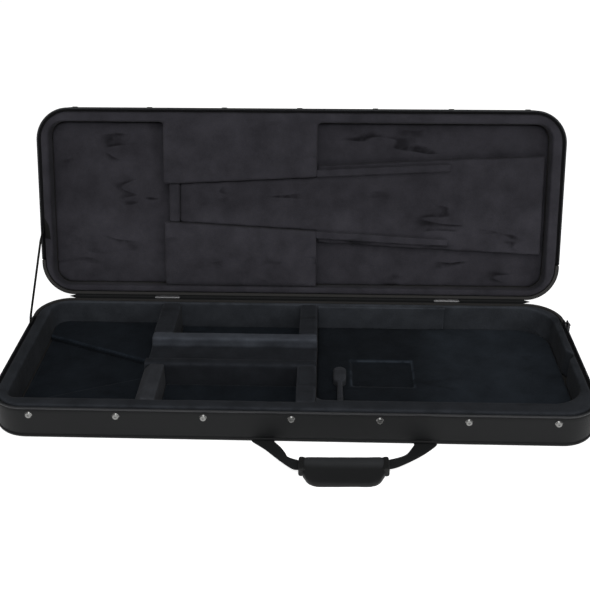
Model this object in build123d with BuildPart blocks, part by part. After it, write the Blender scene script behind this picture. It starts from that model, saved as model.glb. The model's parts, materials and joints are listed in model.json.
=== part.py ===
"""An electric guitar case lying open on the floor, as an assembly of its separate pieces.

The case is two stiff trays in a nylon cover, joined by two butt hinges at the back and
closed by a zipper round the other three sides. X runs along the case, Y from its front
wall to its hinges and Z up. The origin is the middle of the bottom face. Millimetres.
"""
from build123d import *
import math
import os

os.makedirs("parts", exist_ok=True)

# Overall sizes of the closed case and of its opening
LENGTH = 1050.0
DEPTH = 377.0
SEAM_HEIGHT = 66.0
LID_HEIGHT = 42.0
CORNER_RADIUS = 65.0
OPEN_ANGLE = 108.0

# Layers of each half, from the outside to the lining
PANEL_THICKNESS = 1.6
PANEL_INSET = 3.0
COVER_THICKNESS = 1.8
BOARD_THICKNESS = 4.8
BOARD_FLOOR = 5.0
FIT = 0.2
SEAM_GAP = 0.3
PIPING_PROUD = 1.4
PIPING_HEIGHT = 7.0
PIPING_ROUND = 2.8

# Zipper round the front and the sides
ZIP_RECESS = 7.3
ZIP_END = 118.0
TAPE_THICKNESS = 0.8
TAPE_RISE = 1.0
COIL_PROUD = 0.9
COIL_THICKNESS = 3.7
COIL_HEIGHT = 4.4
COIL_END_GAP = 1.5

# Wells that the base's lining foam leaves open
BASE_RIM_LEFT = 29.0
BASE_RIM_RIGHT = 22.0
BASE_RIM_FRONT = 31.0
BASE_RIM_BACK = 16.0
BAY_FRONT_CORNER = 18.0
BAY_BACK_CORNER = 28.0
BODY_FRONT_STEP = 6.5
BODY_CORNER = 60.0
HORN_CORNER = 14.0
FOAM_EDGE = 3.0
NOTCH_Y = 3.0
NOTCH_WIDTH = 36.0
NOTCH_DEPTH = 12.0
NOTCH_TIP = 4.0

# Centre block of the base, between the headstock bay and the body well
BLOCK_LEFT = -275.0
BLOCK_RIGHT = 41.0
LEFT_DIVIDER = 38.0
RIGHT_DIVIDER = 35.0
NECK_REST_FRONT = -50.0
NECK_REST_BACK = 62.0
NECK_CHANNEL_FRONT = -28.0
NECK_CHANNEL_BACK = 37.0
NECK_CHANNEL_DEPTH = 16.2
DIVIDER_CHAMFER = 14.0
BLOCK_EDGE = 2.0

# Pads on the base's floor
BAY_FLOOR = 2.4
HEADSTOCK_PAD = 12.0
HEADSTOCK_GAP_LEFT = 229.0
HEADSTOCK_GAP_RIGHT = 48.0
HEADSTOCK_GAP_Y = -2.0
REAR_BOX_FLOOR = 6.4
FRONT_BOX_FLOOR = 15.4
BODY_FLOOR = 8.0
RECESS_DEPTH = 5.5
RECESS_LENGTH = 116.0
RECESS_WIDTH = 86.0
RECESS_X = 164.0
RECESS_Y = 5.0
RECESS_CORNER = 1.0
REAR_PAD_LENGTH = 255.0
REAR_PAD_THICKNESS = 8.0
HORN_PAD_HEIGHT = 15.5
HORN_PAD_WIDTH = 24.0
HORN_PAD_X = 84.0
HORN_PAD_BACK = 4.0
HORN_PAD_HEAD = 48.0
HORN_TAIL_WIDTH = 11.0
HORN_PAD_EDGE = 5.0

# Wells and pads of the lid: distances from the hinge edge and drops below the rim
LID_RIM_LEFT = 23.0
LID_RIM_RIGHT = 28.0
LID_RIM_BACK = 21.0
LID_RIM_FRONT = 26.5
LID_WELL_CORNER = 30.0
LID_BLOCK_CORNER = 8.0
LID_LINING = 5.6
LID_PAD_DROP = 1.5
LID_BLOCK_LEFT = -272.0
LID_BLOCK_RIGHT = 36.0
LID_STRIP_LEFT = -262.0
LID_STRIP_DROP = 7.0
LID_CHANNEL_LEFT = -241.0
LID_CHANNEL_DROP = 13.0
LID_NECK_LINE = 189.5
LID_CHANNEL_NARROW = 79.0
LID_CHANNEL_WIDE = 136.0
LID_RIDGE_END = 301.0
LID_RIDGE_WIDTH = 15.0
LID_RIDGE_SHOULDER = 8.0
LID_RIDGE_DROP = 3.0
LID_BODY_PAD_RIGHT = 488.0
LID_BODY_PAD_WIDTH = 198.0
LID_EDGE = 1.5

# Butt hinges at the back
HINGE_CENTRES = (-268.0, 302.0)
HINGE_WIDTH = 48.0
HINGE_OFFSET = 4.25
LEAF_THICKNESS = 1.6
LEAF_HEIGHT = 30.0
KNUCKLE_RADIUS = 3.4
KNUCKLE_COUNT = 5
KNUCKLE_GAP = 0.25
PIN_RADIUS = 1.5
PIN_FIT = 0.05
PIN_HEAD = 1.2
LEAF_SCREW_COUNT = 3
LEAF_SCREW_PITCH = 16.5
LEAF_SCREW_DROP = 18.0
LEAF_SCREW_HEAD = 3.0
LEAF_SCREW_HEAD_HEIGHT = 1.2
LEAF_SCREW_SHANK = 1.4
LEAF_SCREW_REACH = 6.0

# Screws in cup washers along both front walls
SCREW_COUNT = 7
SCREW_PITCH = 149.5
BASE_SCREW_DROP = 17.5
LID_SCREW_DROP = 15.2
WASHER_RADIUS = 6.75
WASHER_CROWN = 4.9
WASHER_HEIGHT = 2.4
SCREW_HEAD_RADIUS = 4.0
SCREW_SHANK_RADIUS = 1.8
SCREW_REACH = 6.0
SCREW_FIT = 0.1
DRIVE_LENGTH = 4.6
DRIVE_WIDTH = 0.9
DRIVE_DEPTH = 1.1

# Carrying handle of webbing with a padded wrap
STRAP_CENTRES = (-48.0, 228.5)
STRAP_WIDTH = 38.0
STRAP_THICKNESS = 1.4
STRAP_FLOOR_GAP = 0.1
STRAP_TAIL = 42.0
STRAP_RISE = 7.0
HANDLE_GAP = 0.4
GRIP_LEFT = 14.0
GRIP_RIGHT = 163.0
GRIP_REACH = 56.5
GRIP_DEPTH = 57.0
GRIP_THICKNESS = 19.0
GRIP_FRONT_CORNER = 24.0
GRIP_BACK_CORNER = 4.0
GRIP_ROUND = 6.0
BINDING_LENGTH = 10.0
BINDING_DEPTH = 31.0
BINDING_TRIM = 1.2
BINDING_ROUND = 3.5
GRIP_STRAP_START = 57.5
GRIP_STRAP_WIDTH = 26.0
GRIP_SLOT_FIT = 0.25

# Ribbon stay at the left end
STAY_WIDTH = 20.0
STAY_THICKNESS = 0.5
STAY_INSET = 6.0
STAY_BASE_Y = 80.0
STAY_LID_REACH = 136.0
STAY_TUCK = 5.0
STAY_TAB_LENGTH = 46.0
STAY_TAB_WIDTH = 12.0
STAY_TAB_THICKNESS = 0.4

# Zipper slider and its pull tab, parked at the back of the right side
SLIDER_Y = 107.0
SLIDER_LENGTH = 17.0
SLIDER_HEIGHT = 13.0
SLIDER_PLATE = 1.8
SLIDER_FIT = 0.3
SLIDER_CORE = 2.0
SLIDER_CORE_LENGTH = 6.0
BAIL_RADIUS = 0.9
BAIL_LENGTH = 9.0
BAIL_STANDOFF = 2.6
TAB_EYE_RADIUS = 2.0
TAB_EYE_LENGTH = 5.0
TAB_LENGTH = 34.0
TAB_WIDTH = 9.0
TAB_THICKNESS = 1.4
TAB_HOLE_RADIUS = 1.6
TAB_CORNER = 2.5

# Values worked out from the sizes above
HALF_LENGTH = LENGTH / 2
HALF_DEPTH = DEPTH / 2
BOARD_INSET = COVER_THICKNESS + FIT
INNER_INSET = BOARD_INSET + BOARD_THICKNESS
FOAM_INSET = INNER_INSET + FIT
FLOOR_TOP = PANEL_THICKNESS + BOARD_FLOOR
BASE_TOP = SEAM_HEIGHT - SEAM_GAP
WELL_LEFT = BASE_RIM_LEFT - HALF_LENGTH
WELL_RIGHT = HALF_LENGTH - BASE_RIM_RIGHT
WELL_FRONT = BASE_RIM_FRONT - HALF_DEPTH
WELL_BACK = HALF_DEPTH - BASE_RIM_BACK
BODY_FRONT = WELL_FRONT + BODY_FRONT_STEP
BODY_FLOOR_TOP = FLOOR_TOP + BODY_FLOOR
LEFT_DIVIDER_RIGHT = BLOCK_LEFT + LEFT_DIVIDER
RIGHT_DIVIDER_LEFT = BLOCK_RIGHT - RIGHT_DIVIDER
CHANNEL_FLOOR = BASE_TOP - NECK_CHANNEL_DEPTH
TAPE_BOTTOM = SEAM_GAP + ZIP_RECESS
COIL_TOP_DROP = TAPE_BOTTOM - TAPE_THICKNESS - TAPE_RISE - COIL_HEIGHT
COIL_INSET = COIL_THICKNESS - COIL_PROUD

# The lid's rim plane has X along the case, Y away from the hinges and Z out of its mouth
OPEN = math.radians(OPEN_ANGLE)
PIN = Vector(0, HALF_DEPTH + HINGE_OFFSET, SEAM_HEIGHT)
LID_ALONG = Vector(0, -math.cos(OPEN), math.sin(OPEN))
LID_FACING = Vector(0, -math.sin(OPEN), -math.cos(OPEN))
LID_MIDDLE = PIN + LID_ALONG * (HINGE_OFFSET + HALF_DEPTH)
LID_OUTER = Plane(origin=LID_MIDDLE, x_dir=(1, 0, 0), z_dir=LID_FACING).offset(-LID_HEIGHT)
LID_TOP = LID_HEIGHT - SEAM_GAP
LID_LINING_TOP = FLOOR_TOP + LID_LINING
LID_WELL_LEFT = LID_RIM_LEFT - HALF_LENGTH
LID_WELL_RIGHT = HALF_LENGTH - LID_RIM_RIGHT
LID_WELL_BACK = LID_RIM_BACK - HALF_DEPTH
LID_WELL_FRONT = HALF_DEPTH - LID_RIM_FRONT
LID_NECK_Y = LID_NECK_LINE - HALF_DEPTH
CHANNEL_SLOPE = (LID_CHANNEL_WIDE - LID_CHANNEL_NARROW) / 2 / (LID_RIDGE_END - LID_CHANNEL_LEFT)

# A half is its outer plane, its height to the seam and the side its hinges are on
BASE_HALF = (Plane.XY, SEAM_HEIGHT, 1)
LID_HALF = (LID_OUTER, LID_HEIGHT, -1)


def finish(builder, name):
    """Names a finished piece and writes it."""
    builder.part.label = name
    export_step(builder.part, f"parts/{name}.step")


def case_outline(inset, mode=Mode.ADD):
    """The case's plan, a rounded rectangle drawn inset from the outer face."""
    RectangleRounded(LENGTH - 2 * inset, DEPTH - 2 * inset, CORNER_RADIUS - inset, mode=mode)


def area(points, radii):
    """A closed area with rounded corners, to be added to a sketch."""
    with BuildSketch(mode=Mode.PRIVATE) as shape:
        with BuildLine():
            FilletPolyline(*points, radius=radii, close=True)
        make_face()
    return shape.sketch_local


def box_area(left, right, front, back, radii=(0, 0, 0, 0)):
    """A rectangle by its sides, with the corner radii from front left round to back left."""
    return area([(left, front), (right, front), (right, back), (left, back)], radii)


def keep_zip_side(hinge_side, end):
    """Keeps the part of a sketch over the front and the sides, up to the zipper's end."""
    width = LENGTH + 4 * PIPING_HEIGHT
    depth = end + HALF_DEPTH + 2 * PIPING_HEIGHT
    with Locations((0, hinge_side * (end - depth / 2))):
        Rectangle(width, depth, mode=Mode.INTERSECT)


def wall_plane(half, x, drop, on_hinge_wall):
    """A plane on the front or the hinge wall, facing outwards, a drop below the seam."""
    plane, height, hinge_side = half
    side = hinge_side if on_hinge_wall else -hinge_side
    origin = plane.from_local_coords((x, side * HALF_DEPTH, height - drop))
    return Plane(origin=origin, x_dir=(1, 0, 0), z_dir=plane.y_dir * side)


def front_screw_places(half, drop):
    """Where the cup-washer screws of one front wall go."""
    first = -(SCREW_COUNT - 1) / 2 * SCREW_PITCH
    spots = [first + i * SCREW_PITCH for i in range(SCREW_COUNT)]
    return [wall_plane(half, x, drop, False).location for x in spots]


def leaf_screw_places(half):
    """Where the hinge screws of one half go."""
    steps = [i - (LEAF_SCREW_COUNT - 1) / 2 for i in range(LEAF_SCREW_COUNT)]
    spots = [centre + step * LEAF_SCREW_PITCH for centre in HINGE_CENTRES for step in steps]
    return [wall_plane(half, x, LEAF_SCREW_DROP, True).location for x in spots]


def drill_wall(half, screw_drop):
    """Screw holes through the part being built, in its front and hinge walls."""
    with Locations(*front_screw_places(half, screw_drop)):
        Cylinder(SCREW_SHANK_RADIUS + SCREW_FIT, 4 * INNER_INSET, mode=Mode.SUBTRACT)
    with Locations(*leaf_screw_places(half)):
        Cylinder(LEAF_SCREW_SHANK + SCREW_FIT, 4 * INNER_INSET, mode=Mode.SUBTRACT)


def ends_of(builder, plane):
    """The edges of the two end faces of an extruded piece."""
    faces = builder.faces().sort_by(Axis(plane.origin, plane.z_dir))
    return faces[0].edges() + faces[-1].edges()


def mouth_edges(builder, plane):
    """The edges of the face that is nearest to the seam."""
    return builder.faces().sort_by(Axis(plane.origin, plane.z_dir))[-1].edges()


def make_piping(half, name):
    """The piped roll round a half's outer edge, where its panel meets its side cover."""
    plane = half[0]
    with BuildPart() as piping:
        with BuildSketch(plane.offset(PANEL_THICKNESS)):
            case_outline(-PIPING_PROUD)
        extrude(amount=PIPING_HEIGHT)
        fillet(ends_of(piping, plane), PIPING_ROUND)
        with BuildSketch(plane.offset(PANEL_THICKNESS)):
            case_outline(COVER_THICKNESS)
        extrude(amount=PIPING_HEIGHT, mode=Mode.SUBTRACT)
    finish(piping, name)


def make_side_cover(half, screw_drop, name):
    """The nylon band round a half's side, from the piping up to the zipper."""
    plane, height, hinge_side = half
    bottom = PANEL_THICKNESS + PIPING_HEIGHT
    with BuildPart() as cover:
        with BuildSketch(plane.offset(bottom)):
            case_outline(0)
            case_outline(COVER_THICKNESS, Mode.SUBTRACT)
        extrude(amount=height - SEAM_GAP - bottom)
        with BuildSketch(plane.offset(height - TAPE_BOTTOM)):
            case_outline(-COIL_PROUD)
            keep_zip_side(hinge_side, ZIP_END)
        extrude(amount=ZIP_RECESS, mode=Mode.SUBTRACT)
        drill_wall(half, screw_drop)
    finish(cover, name)


def make_board_tray(half, screw_drop, name):
    """The stiff tray of thin board that gives a half its shape."""
    plane, height, hinge_side = half
    with BuildPart() as tray:
        with BuildSketch(plane.offset(PANEL_THICKNESS)):
            case_outline(BOARD_INSET)
        extrude(amount=height - SEAM_GAP - PANEL_THICKNESS)
        with BuildSketch(plane.offset(FLOOR_TOP)):
            case_outline(INNER_INSET)
        extrude(amount=height, mode=Mode.SUBTRACT)
        with BuildSketch(plane.offset(height - TAPE_BOTTOM)):
            case_outline(0)
            keep_zip_side(hinge_side, ZIP_END)
        extrude(amount=ZIP_RECESS, mode=Mode.SUBTRACT)
        drill_wall(half, screw_drop)
    finish(tray, name)


def make_zip_tape(half, name):
    """The woven tape of one zipper half, flat on the tray's edge and turned up outside."""
    plane, height, hinge_side = half
    with BuildPart() as tape:
        with BuildSketch(plane.offset(height - TAPE_BOTTOM)):
            case_outline(0)
            case_outline(INNER_INSET, Mode.SUBTRACT)
            keep_zip_side(hinge_side, ZIP_END - FIT)
        extrude(amount=TAPE_THICKNESS)
        with BuildSketch(plane.offset(height - TAPE_BOTTOM)):
            case_outline(FIT)
            case_outline(FIT + TAPE_THICKNESS, Mode.SUBTRACT)
            keep_zip_side(hinge_side, ZIP_END - FIT)
        extrude(amount=TAPE_THICKNESS + TAPE_RISE)
    finish(tape, name)


def make_zip_coil(half, name):
    """The coil of teeth along one zipper half."""
    plane, height, hinge_side = half
    with BuildPart() as coil:
        with BuildSketch(plane.offset(height - COIL_TOP_DROP - COIL_HEIGHT)):
            case_outline(-COIL_PROUD)
            case_outline(COIL_INSET, Mode.SUBTRACT)
            keep_zip_side(hinge_side, ZIP_END - COIL_END_GAP)
        extrude(amount=COIL_HEIGHT)
    finish(coil, name)


def make_washers(half, screw_drop, name):
    """Cup washers that spread each screw's load over the nylon."""
    with BuildPart() as washers:
        with Locations(*front_screw_places(half, screw_drop)):
            Cone(WASHER_RADIUS, WASHER_CROWN, WASHER_HEIGHT, align=(Align.CENTER, Align.CENTER, Align.MIN))
            Cone(SCREW_SHANK_RADIUS + SCREW_FIT, SCREW_HEAD_RADIUS + SCREW_FIT, WASHER_HEIGHT,
                 align=(Align.CENTER, Align.CENTER, Align.MIN), mode=Mode.SUBTRACT)
    finish(washers, name)


def make_screws(half, screw_drop, name):
    """Countersunk cross-head screws through the washers into the board."""
    with BuildPart() as screws:
        with Locations(*front_screw_places(half, screw_drop)):
            Cone(SCREW_SHANK_RADIUS, SCREW_HEAD_RADIUS, WASHER_HEIGHT,
                 align=(Align.CENTER, Align.CENTER, Align.MIN))
            Cylinder(SCREW_SHANK_RADIUS, SCREW_REACH, align=(Align.CENTER, Align.CENTER, Align.MAX))
            with Locations((0, 0, WASHER_HEIGHT)):
                cross = (Align.CENTER, Align.CENTER, Align.MAX)
                Box(DRIVE_LENGTH, DRIVE_WIDTH, DRIVE_DEPTH, align=cross, mode=Mode.SUBTRACT)
                Box(DRIVE_WIDTH, DRIVE_LENGTH, DRIVE_DEPTH, align=cross, mode=Mode.SUBTRACT)
    finish(screws, name)


def knuckle_spans(own):
    """Start and length along the pin of a leaf's own knuckles, or of the other leaf's."""
    pitch = HINGE_WIDTH / KNUCKLE_COUNT
    wanted = range(0 if own else 1, KNUCKLE_COUNT, 2)
    return [(-HINGE_WIDTH / 2 + i * pitch, pitch) for i in wanted]


def make_leaf(half, centre, outer_knuckles, name):
    """One hinge leaf, screwed to the outside of the hinge wall, with its knuckles."""
    plane, height, hinge_side = half
    wall = wall_plane(half, centre, SEAM_GAP + LEAF_HEIGHT / 2, True)
    pin_local = (centre, hinge_side * (HALF_DEPTH + HINGE_OFFSET), height)
    pin_plane = Plane(origin=plane.from_local_coords(pin_local), x_dir=plane.y_dir, z_dir=(1, 0, 0))
    with BuildPart() as leaf:
        with BuildSketch(wall):
            RectangleRounded(HINGE_WIDTH, LEAF_HEIGHT, KNUCKLE_RADIUS / 2)
        extrude(amount=LEAF_THICKNESS)
        for start, length in knuckle_spans(outer_knuckles):
            with BuildSketch(pin_plane.offset(start + KNUCKLE_GAP / 2)):
                Circle(KNUCKLE_RADIUS)
            extrude(amount=length - KNUCKLE_GAP)
        for start, length in knuckle_spans(not outer_knuckles):
            with BuildSketch(pin_plane.offset(start - KNUCKLE_GAP / 2)):
                Circle(KNUCKLE_RADIUS + KNUCKLE_GAP)
            extrude(amount=length + KNUCKLE_GAP, mode=Mode.SUBTRACT)
        with BuildSketch(pin_plane):
            Circle(PIN_RADIUS + PIN_FIT)
        extrude(amount=HINGE_WIDTH, both=True, mode=Mode.SUBTRACT)
        with Locations(*leaf_screw_places(half)):
            Cylinder(LEAF_SCREW_SHANK + SCREW_FIT, 4 * INNER_INSET, mode=Mode.SUBTRACT)
    finish(leaf, name)


def make_pin(centre, name):
    """A hinge pin with a flat head at each end."""
    with BuildPart() as pin:
        with BuildSketch(Plane.YZ.offset(centre)):
            with Locations((PIN.Y, PIN.Z)):
                Circle(PIN_RADIUS)
        extrude(amount=HINGE_WIDTH / 2 + PIN_FIT, both=True)
        for side in (-1, 1):
            with BuildSketch(Plane.YZ.offset(centre + side * (HINGE_WIDTH / 2 + PIN_FIT))):
                with Locations((PIN.Y, PIN.Z)):
                    Circle(KNUCKLE_RADIUS - KNUCKLE_GAP)
            extrude(amount=side * PIN_HEAD)
    finish(pin, name)


def make_leaf_screws(half, name):
    """Round-head screws through the hinge leaves into the board."""
    with BuildPart() as screws:
        with Locations(*leaf_screw_places(half)):
            with Locations((0, 0, LEAF_THICKNESS)):
                Cylinder(LEAF_SCREW_HEAD, LEAF_SCREW_HEAD_HEIGHT,
                         align=(Align.CENTER, Align.CENTER, Align.MIN))
                Cylinder(LEAF_SCREW_SHANK, LEAF_THICKNESS + LEAF_SCREW_REACH,
                         align=(Align.CENTER, Align.CENTER, Align.MAX))
    finish(screws, name)


def make_block(plane, bottom, top, shape, name, edge):
    """A block of lining foam: an area extruded between two heights, its mouth edges eased."""
    with BuildPart() as block:
        with BuildSketch(plane.offset(bottom)):
            add(shape)
        extrude(amount=top - bottom)
        fillet(mouth_edges(block, plane), edge)
    finish(block, name)


# Outer pieces of both halves
with BuildPart() as base_panel:
    with BuildSketch():
        case_outline(PANEL_INSET)
        for strap in STRAP_CENTRES:
            add(box_area(strap - STRAP_WIDTH / 2 - FIT, strap + STRAP_WIDTH / 2 + FIT,
                         -HALF_DEPTH, STRAP_TAIL + FIT - HALF_DEPTH), mode=Mode.SUBTRACT)
    extrude(amount=PANEL_THICKNESS)
finish(base_panel, "base_bottom_panel")

with BuildPart() as lid_panel:
    with BuildSketch(LID_OUTER):
        case_outline(PANEL_INSET)
    extrude(amount=PANEL_THICKNESS)
finish(lid_panel, "lid_top_panel")

make_piping(BASE_HALF, "base_bottom_piping")
make_piping(LID_HALF, "lid_top_piping")
make_side_cover(BASE_HALF, BASE_SCREW_DROP, "base_side_cover")
make_side_cover(LID_HALF, LID_SCREW_DROP, "lid_side_cover")
make_board_tray(BASE_HALF, BASE_SCREW_DROP, "base_board_tray")
make_board_tray(LID_HALF, LID_SCREW_DROP, "lid_board_tray")
make_zip_tape(BASE_HALF, "base_zipper_tape")
make_zip_tape(LID_HALF, "lid_zipper_tape")
make_zip_coil(BASE_HALF, "base_zipper_coil")
make_zip_coil(LID_HALF, "lid_zipper_coil")
make_washers(BASE_HALF, BASE_SCREW_DROP, "base_cup_washers")
make_washers(LID_HALF, LID_SCREW_DROP, "lid_cup_washers")
make_screws(BASE_HALF, BASE_SCREW_DROP, "base_screws")
make_screws(LID_HALF, LID_SCREW_DROP, "lid_screws")

# Hinges: the base's leaves carry the outer and middle knuckles
for hinge_name, hinge_x in zip(("left", "right"), HINGE_CENTRES):
    make_leaf(BASE_HALF, hinge_x, True, f"{hinge_name}_hinge_base_leaf")
    make_leaf(LID_HALF, hinge_x, False, f"{hinge_name}_hinge_lid_leaf")
    make_pin(hinge_x, f"{hinge_name}_hinge_pin")
make_leaf_screws(BASE_HALF, "base_hinge_screws")
make_leaf_screws(LID_HALF, "lid_hinge_screws")

# Base rim foam, a plush-covered frame with the strap-button notch at the body's end
base_left_well = box_area(WELL_LEFT, BLOCK_RIGHT, WELL_FRONT, WELL_BACK,
                          (BAY_FRONT_CORNER, 0, 0, BAY_BACK_CORNER))
base_body_well = box_area(BLOCK_RIGHT, WELL_RIGHT, BODY_FRONT, WELL_BACK,
                          (HORN_CORNER, BODY_CORNER, BODY_CORNER, 0))
notch_mouth = NOTCH_WIDTH / 2
notch = area([(WELL_RIGHT - NOTCH_TIP, NOTCH_Y - notch_mouth - NOTCH_TIP),
              (WELL_RIGHT + NOTCH_DEPTH, NOTCH_Y - NOTCH_TIP / 2),
              (WELL_RIGHT + NOTCH_DEPTH, NOTCH_Y + NOTCH_TIP / 2),
              (WELL_RIGHT - NOTCH_TIP, NOTCH_Y + notch_mouth + NOTCH_TIP)],
             (0, NOTCH_TIP / 2, NOTCH_TIP / 2, 0))

with BuildPart() as base_rim_foam:
    with BuildSketch(Plane.XY.offset(FLOOR_TOP)):
        case_outline(FOAM_INSET)
        add(base_left_well, mode=Mode.SUBTRACT)
        add(base_body_well, mode=Mode.SUBTRACT)
    extrude(amount=BASE_TOP - FLOOR_TOP)
    fillet(mouth_edges(base_rim_foam, Plane.XY), FOAM_EDGE)
    with BuildSketch(Plane.XY.offset(FLOOR_TOP)):
        add(notch)
    extrude(amount=SEAM_HEIGHT, mode=Mode.SUBTRACT)
finish(base_rim_foam, "base_rim_foam")

# Centre block: a neck rest with a box in front of it and a box behind it
neck_rest_area = box_area(BLOCK_LEFT, BLOCK_RIGHT, NECK_REST_FRONT, NECK_REST_BACK)
with BuildPart() as neck_rest:
    with BuildSketch(Plane.XY.offset(FLOOR_TOP)):
        add(neck_rest_area)
    extrude(amount=BASE_TOP - FLOOR_TOP)
    with BuildSketch(Plane.XY.offset(CHANNEL_FLOOR)):
        add(box_area(BLOCK_LEFT, BLOCK_RIGHT, NECK_CHANNEL_FRONT, NECK_CHANNEL_BACK))
    extrude(amount=NECK_CHANNEL_DEPTH, mode=Mode.SUBTRACT)
    along = neck_rest.edges().filter_by(Axis.X).group_by(Axis.Z)[-1]
    fillet(along, BLOCK_EDGE)
finish(neck_rest, "neck_rest")

for divider_name, x0, x1 in (("left", BLOCK_LEFT, LEFT_DIVIDER_RIGHT),
                             ("right", RIGHT_DIVIDER_LEFT, BLOCK_RIGHT)):
    make_block(Plane.XY, FLOOR_TOP, BASE_TOP,
               box_area(x0, x1, NECK_REST_BACK + FIT, WELL_BACK - FIT),
               f"{divider_name}_divider_back", BLOCK_EDGE)

with BuildPart() as left_divider_front:
    with BuildSketch(Plane.XY.offset(FLOOR_TOP)):
        add(box_area(BLOCK_LEFT, LEFT_DIVIDER_RIGHT, WELL_FRONT + FIT, NECK_REST_FRONT - FIT))
    extrude(amount=BASE_TOP - FLOOR_TOP)
    top_edges = left_divider_front.edges().filter_by(Axis.Y).group_by(Axis.Z)[-1]
    chamfer(top_edges.sort_by(Axis.X)[0], DIVIDER_CHAMFER)
finish(left_divider_front, "left_divider_front")

make_block(Plane.XY, FLOOR_TOP, BASE_TOP,
           box_area(RIGHT_DIVIDER_LEFT, BLOCK_RIGHT, WELL_FRONT + FIT, NECK_REST_FRONT - FIT),
           "right_divider_front", BLOCK_EDGE)

# Headstock bay: a thin floor and two raised pads that leave a gap widening to the left
bay_left = WELL_LEFT + FIT
bay_right = BLOCK_LEFT - FIT
bay_front = WELL_FRONT + FIT
bay_back = WELL_BACK - FIT
make_block(Plane.XY, FLOOR_TOP, FLOOR_TOP + BAY_FLOOR,
           box_area(bay_left, bay_right, bay_front, bay_back,
                    (BAY_FRONT_CORNER, 0, 0, BAY_BACK_CORNER)),
           "headstock_floor_pad", BAY_FLOOR / 4)
pad_bottom = FLOOR_TOP + BAY_FLOOR
make_block(Plane.XY, pad_bottom, pad_bottom + HEADSTOCK_PAD,
           area([(bay_left, HEADSTOCK_GAP_Y + HEADSTOCK_GAP_LEFT / 2),
                 (bay_right, HEADSTOCK_GAP_Y + HEADSTOCK_GAP_RIGHT / 2),
                 (bay_right, bay_back), (bay_left, bay_back)], (0, 0, 0, BAY_BACK_CORNER)),
           "headstock_pad_back", BLOCK_EDGE)
make_block(Plane.XY, pad_bottom, pad_bottom + HEADSTOCK_PAD,
           area([(bay_left, bay_front), (bay_right, bay_front),
                 (bay_right, HEADSTOCK_GAP_Y - HEADSTOCK_GAP_RIGHT / 2),
                 (bay_left, HEADSTOCK_GAP_Y - HEADSTOCK_GAP_LEFT / 2)], (BAY_FRONT_CORNER, 0, 0, 0)),
           "headstock_pad_front", BLOCK_EDGE)

# Floors of the two boxes
box_left = LEFT_DIVIDER_RIGHT + FIT
box_right = RIGHT_DIVIDER_LEFT - FIT
make_block(Plane.XY, FLOOR_TOP, FLOOR_TOP + REAR_BOX_FLOOR,
           box_area(box_left, box_right, NECK_REST_BACK + FIT, WELL_BACK - FIT),
           "rear_box_floor", BLOCK_EDGE)
make_block(Plane.XY, FLOOR_TOP, FLOOR_TOP + FRONT_BOX_FLOOR,
           box_area(box_left, box_right, WELL_FRONT + FIT, NECK_REST_FRONT - FIT),
           "front_box_floor", BLOCK_EDGE)

# Body well: a thin floor, a pad on it with a window as a recess, a rear pad and a pad for the horn
body_floor_area = box_area(BLOCK_RIGHT + FIT, WELL_RIGHT - FIT, BODY_FRONT + FIT, WELL_BACK - FIT,
                           (HORN_CORNER, BODY_CORNER, BODY_CORNER, 0))
with BuildPart() as body_floor_base:
    with BuildSketch(Plane.XY.offset(FLOOR_TOP)):
        add(body_floor_area)
    extrude(amount=BODY_FLOOR - RECESS_DEPTH)
finish(body_floor_base, "body_floor_base")

with BuildPart() as body_floor_pad:
    with BuildSketch(Plane.XY.offset(BODY_FLOOR_TOP - RECESS_DEPTH)):
        add(body_floor_area)
        with Locations((RECESS_X, RECESS_Y)):
            RectangleRounded(RECESS_LENGTH, RECESS_WIDTH, RECESS_CORNER, mode=Mode.SUBTRACT)
    extrude(amount=RECESS_DEPTH)
finish(body_floor_pad, "body_floor_pad")

rear_pad_front = WELL_BACK - FIT - REAR_PAD_THICKNESS
make_block(Plane.XY, BODY_FLOOR_TOP, BASE_TOP,
           box_area(BLOCK_RIGHT + FIT, BLOCK_RIGHT + REAR_PAD_LENGTH, rear_pad_front, WELL_BACK - FIT),
           "body_rear_pad", BLOCK_EDGE)

horn_front = BODY_FRONT + FIT
horn_neck = HORN_PAD_BACK - HORN_PAD_HEAD
tail_half = HORN_TAIL_WIDTH / 2
head_half = HORN_PAD_WIDTH / 2
with BuildPart() as horn_pad:
    with BuildSketch(Plane.XY.offset(BODY_FLOOR_TOP)):
        with Locations((HORN_PAD_X, (HORN_PAD_BACK + horn_neck) / 2)):
            RectangleRounded(HORN_PAD_WIDTH, HORN_PAD_HEAD, head_half * 0.9)
        add(box_area(HORN_PAD_X - tail_half, HORN_PAD_X + tail_half, horn_front,
                     horn_neck + head_half))
    extrude(amount=HORN_PAD_HEIGHT)
    fillet(mouth_edges(horn_pad, Plane.XY), HORN_PAD_EDGE / 2)
finish(horn_pad, "horn_pad")

# Lid lining: a foam frame, a flat lining and the pads that hold the guitar down
lid_well = box_area(LID_WELL_LEFT, LID_WELL_RIGHT, LID_WELL_BACK, LID_WELL_FRONT,
                    (LID_WELL_CORNER,) * 4)
with BuildPart() as lid_rim_foam:
    with BuildSketch(LID_OUTER.offset(FLOOR_TOP)):
        case_outline(FOAM_INSET)
        add(lid_well, mode=Mode.SUBTRACT)
    extrude(amount=LID_TOP - FLOOR_TOP)
    fillet(mouth_edges(lid_rim_foam, LID_OUTER), FOAM_EDGE)
finish(lid_rim_foam, "lid_rim_foam")

with BuildPart() as lid_lining:
    with BuildSketch(LID_OUTER.offset(FLOOR_TOP)):
        add(box_area(LID_WELL_LEFT + FIT, LID_WELL_RIGHT - FIT, LID_WELL_BACK + FIT,
                     LID_WELL_FRONT - FIT, (LID_WELL_CORNER,) * 4))
    extrude(amount=LID_LINING)
finish(lid_lining, "lid_lining")


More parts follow.
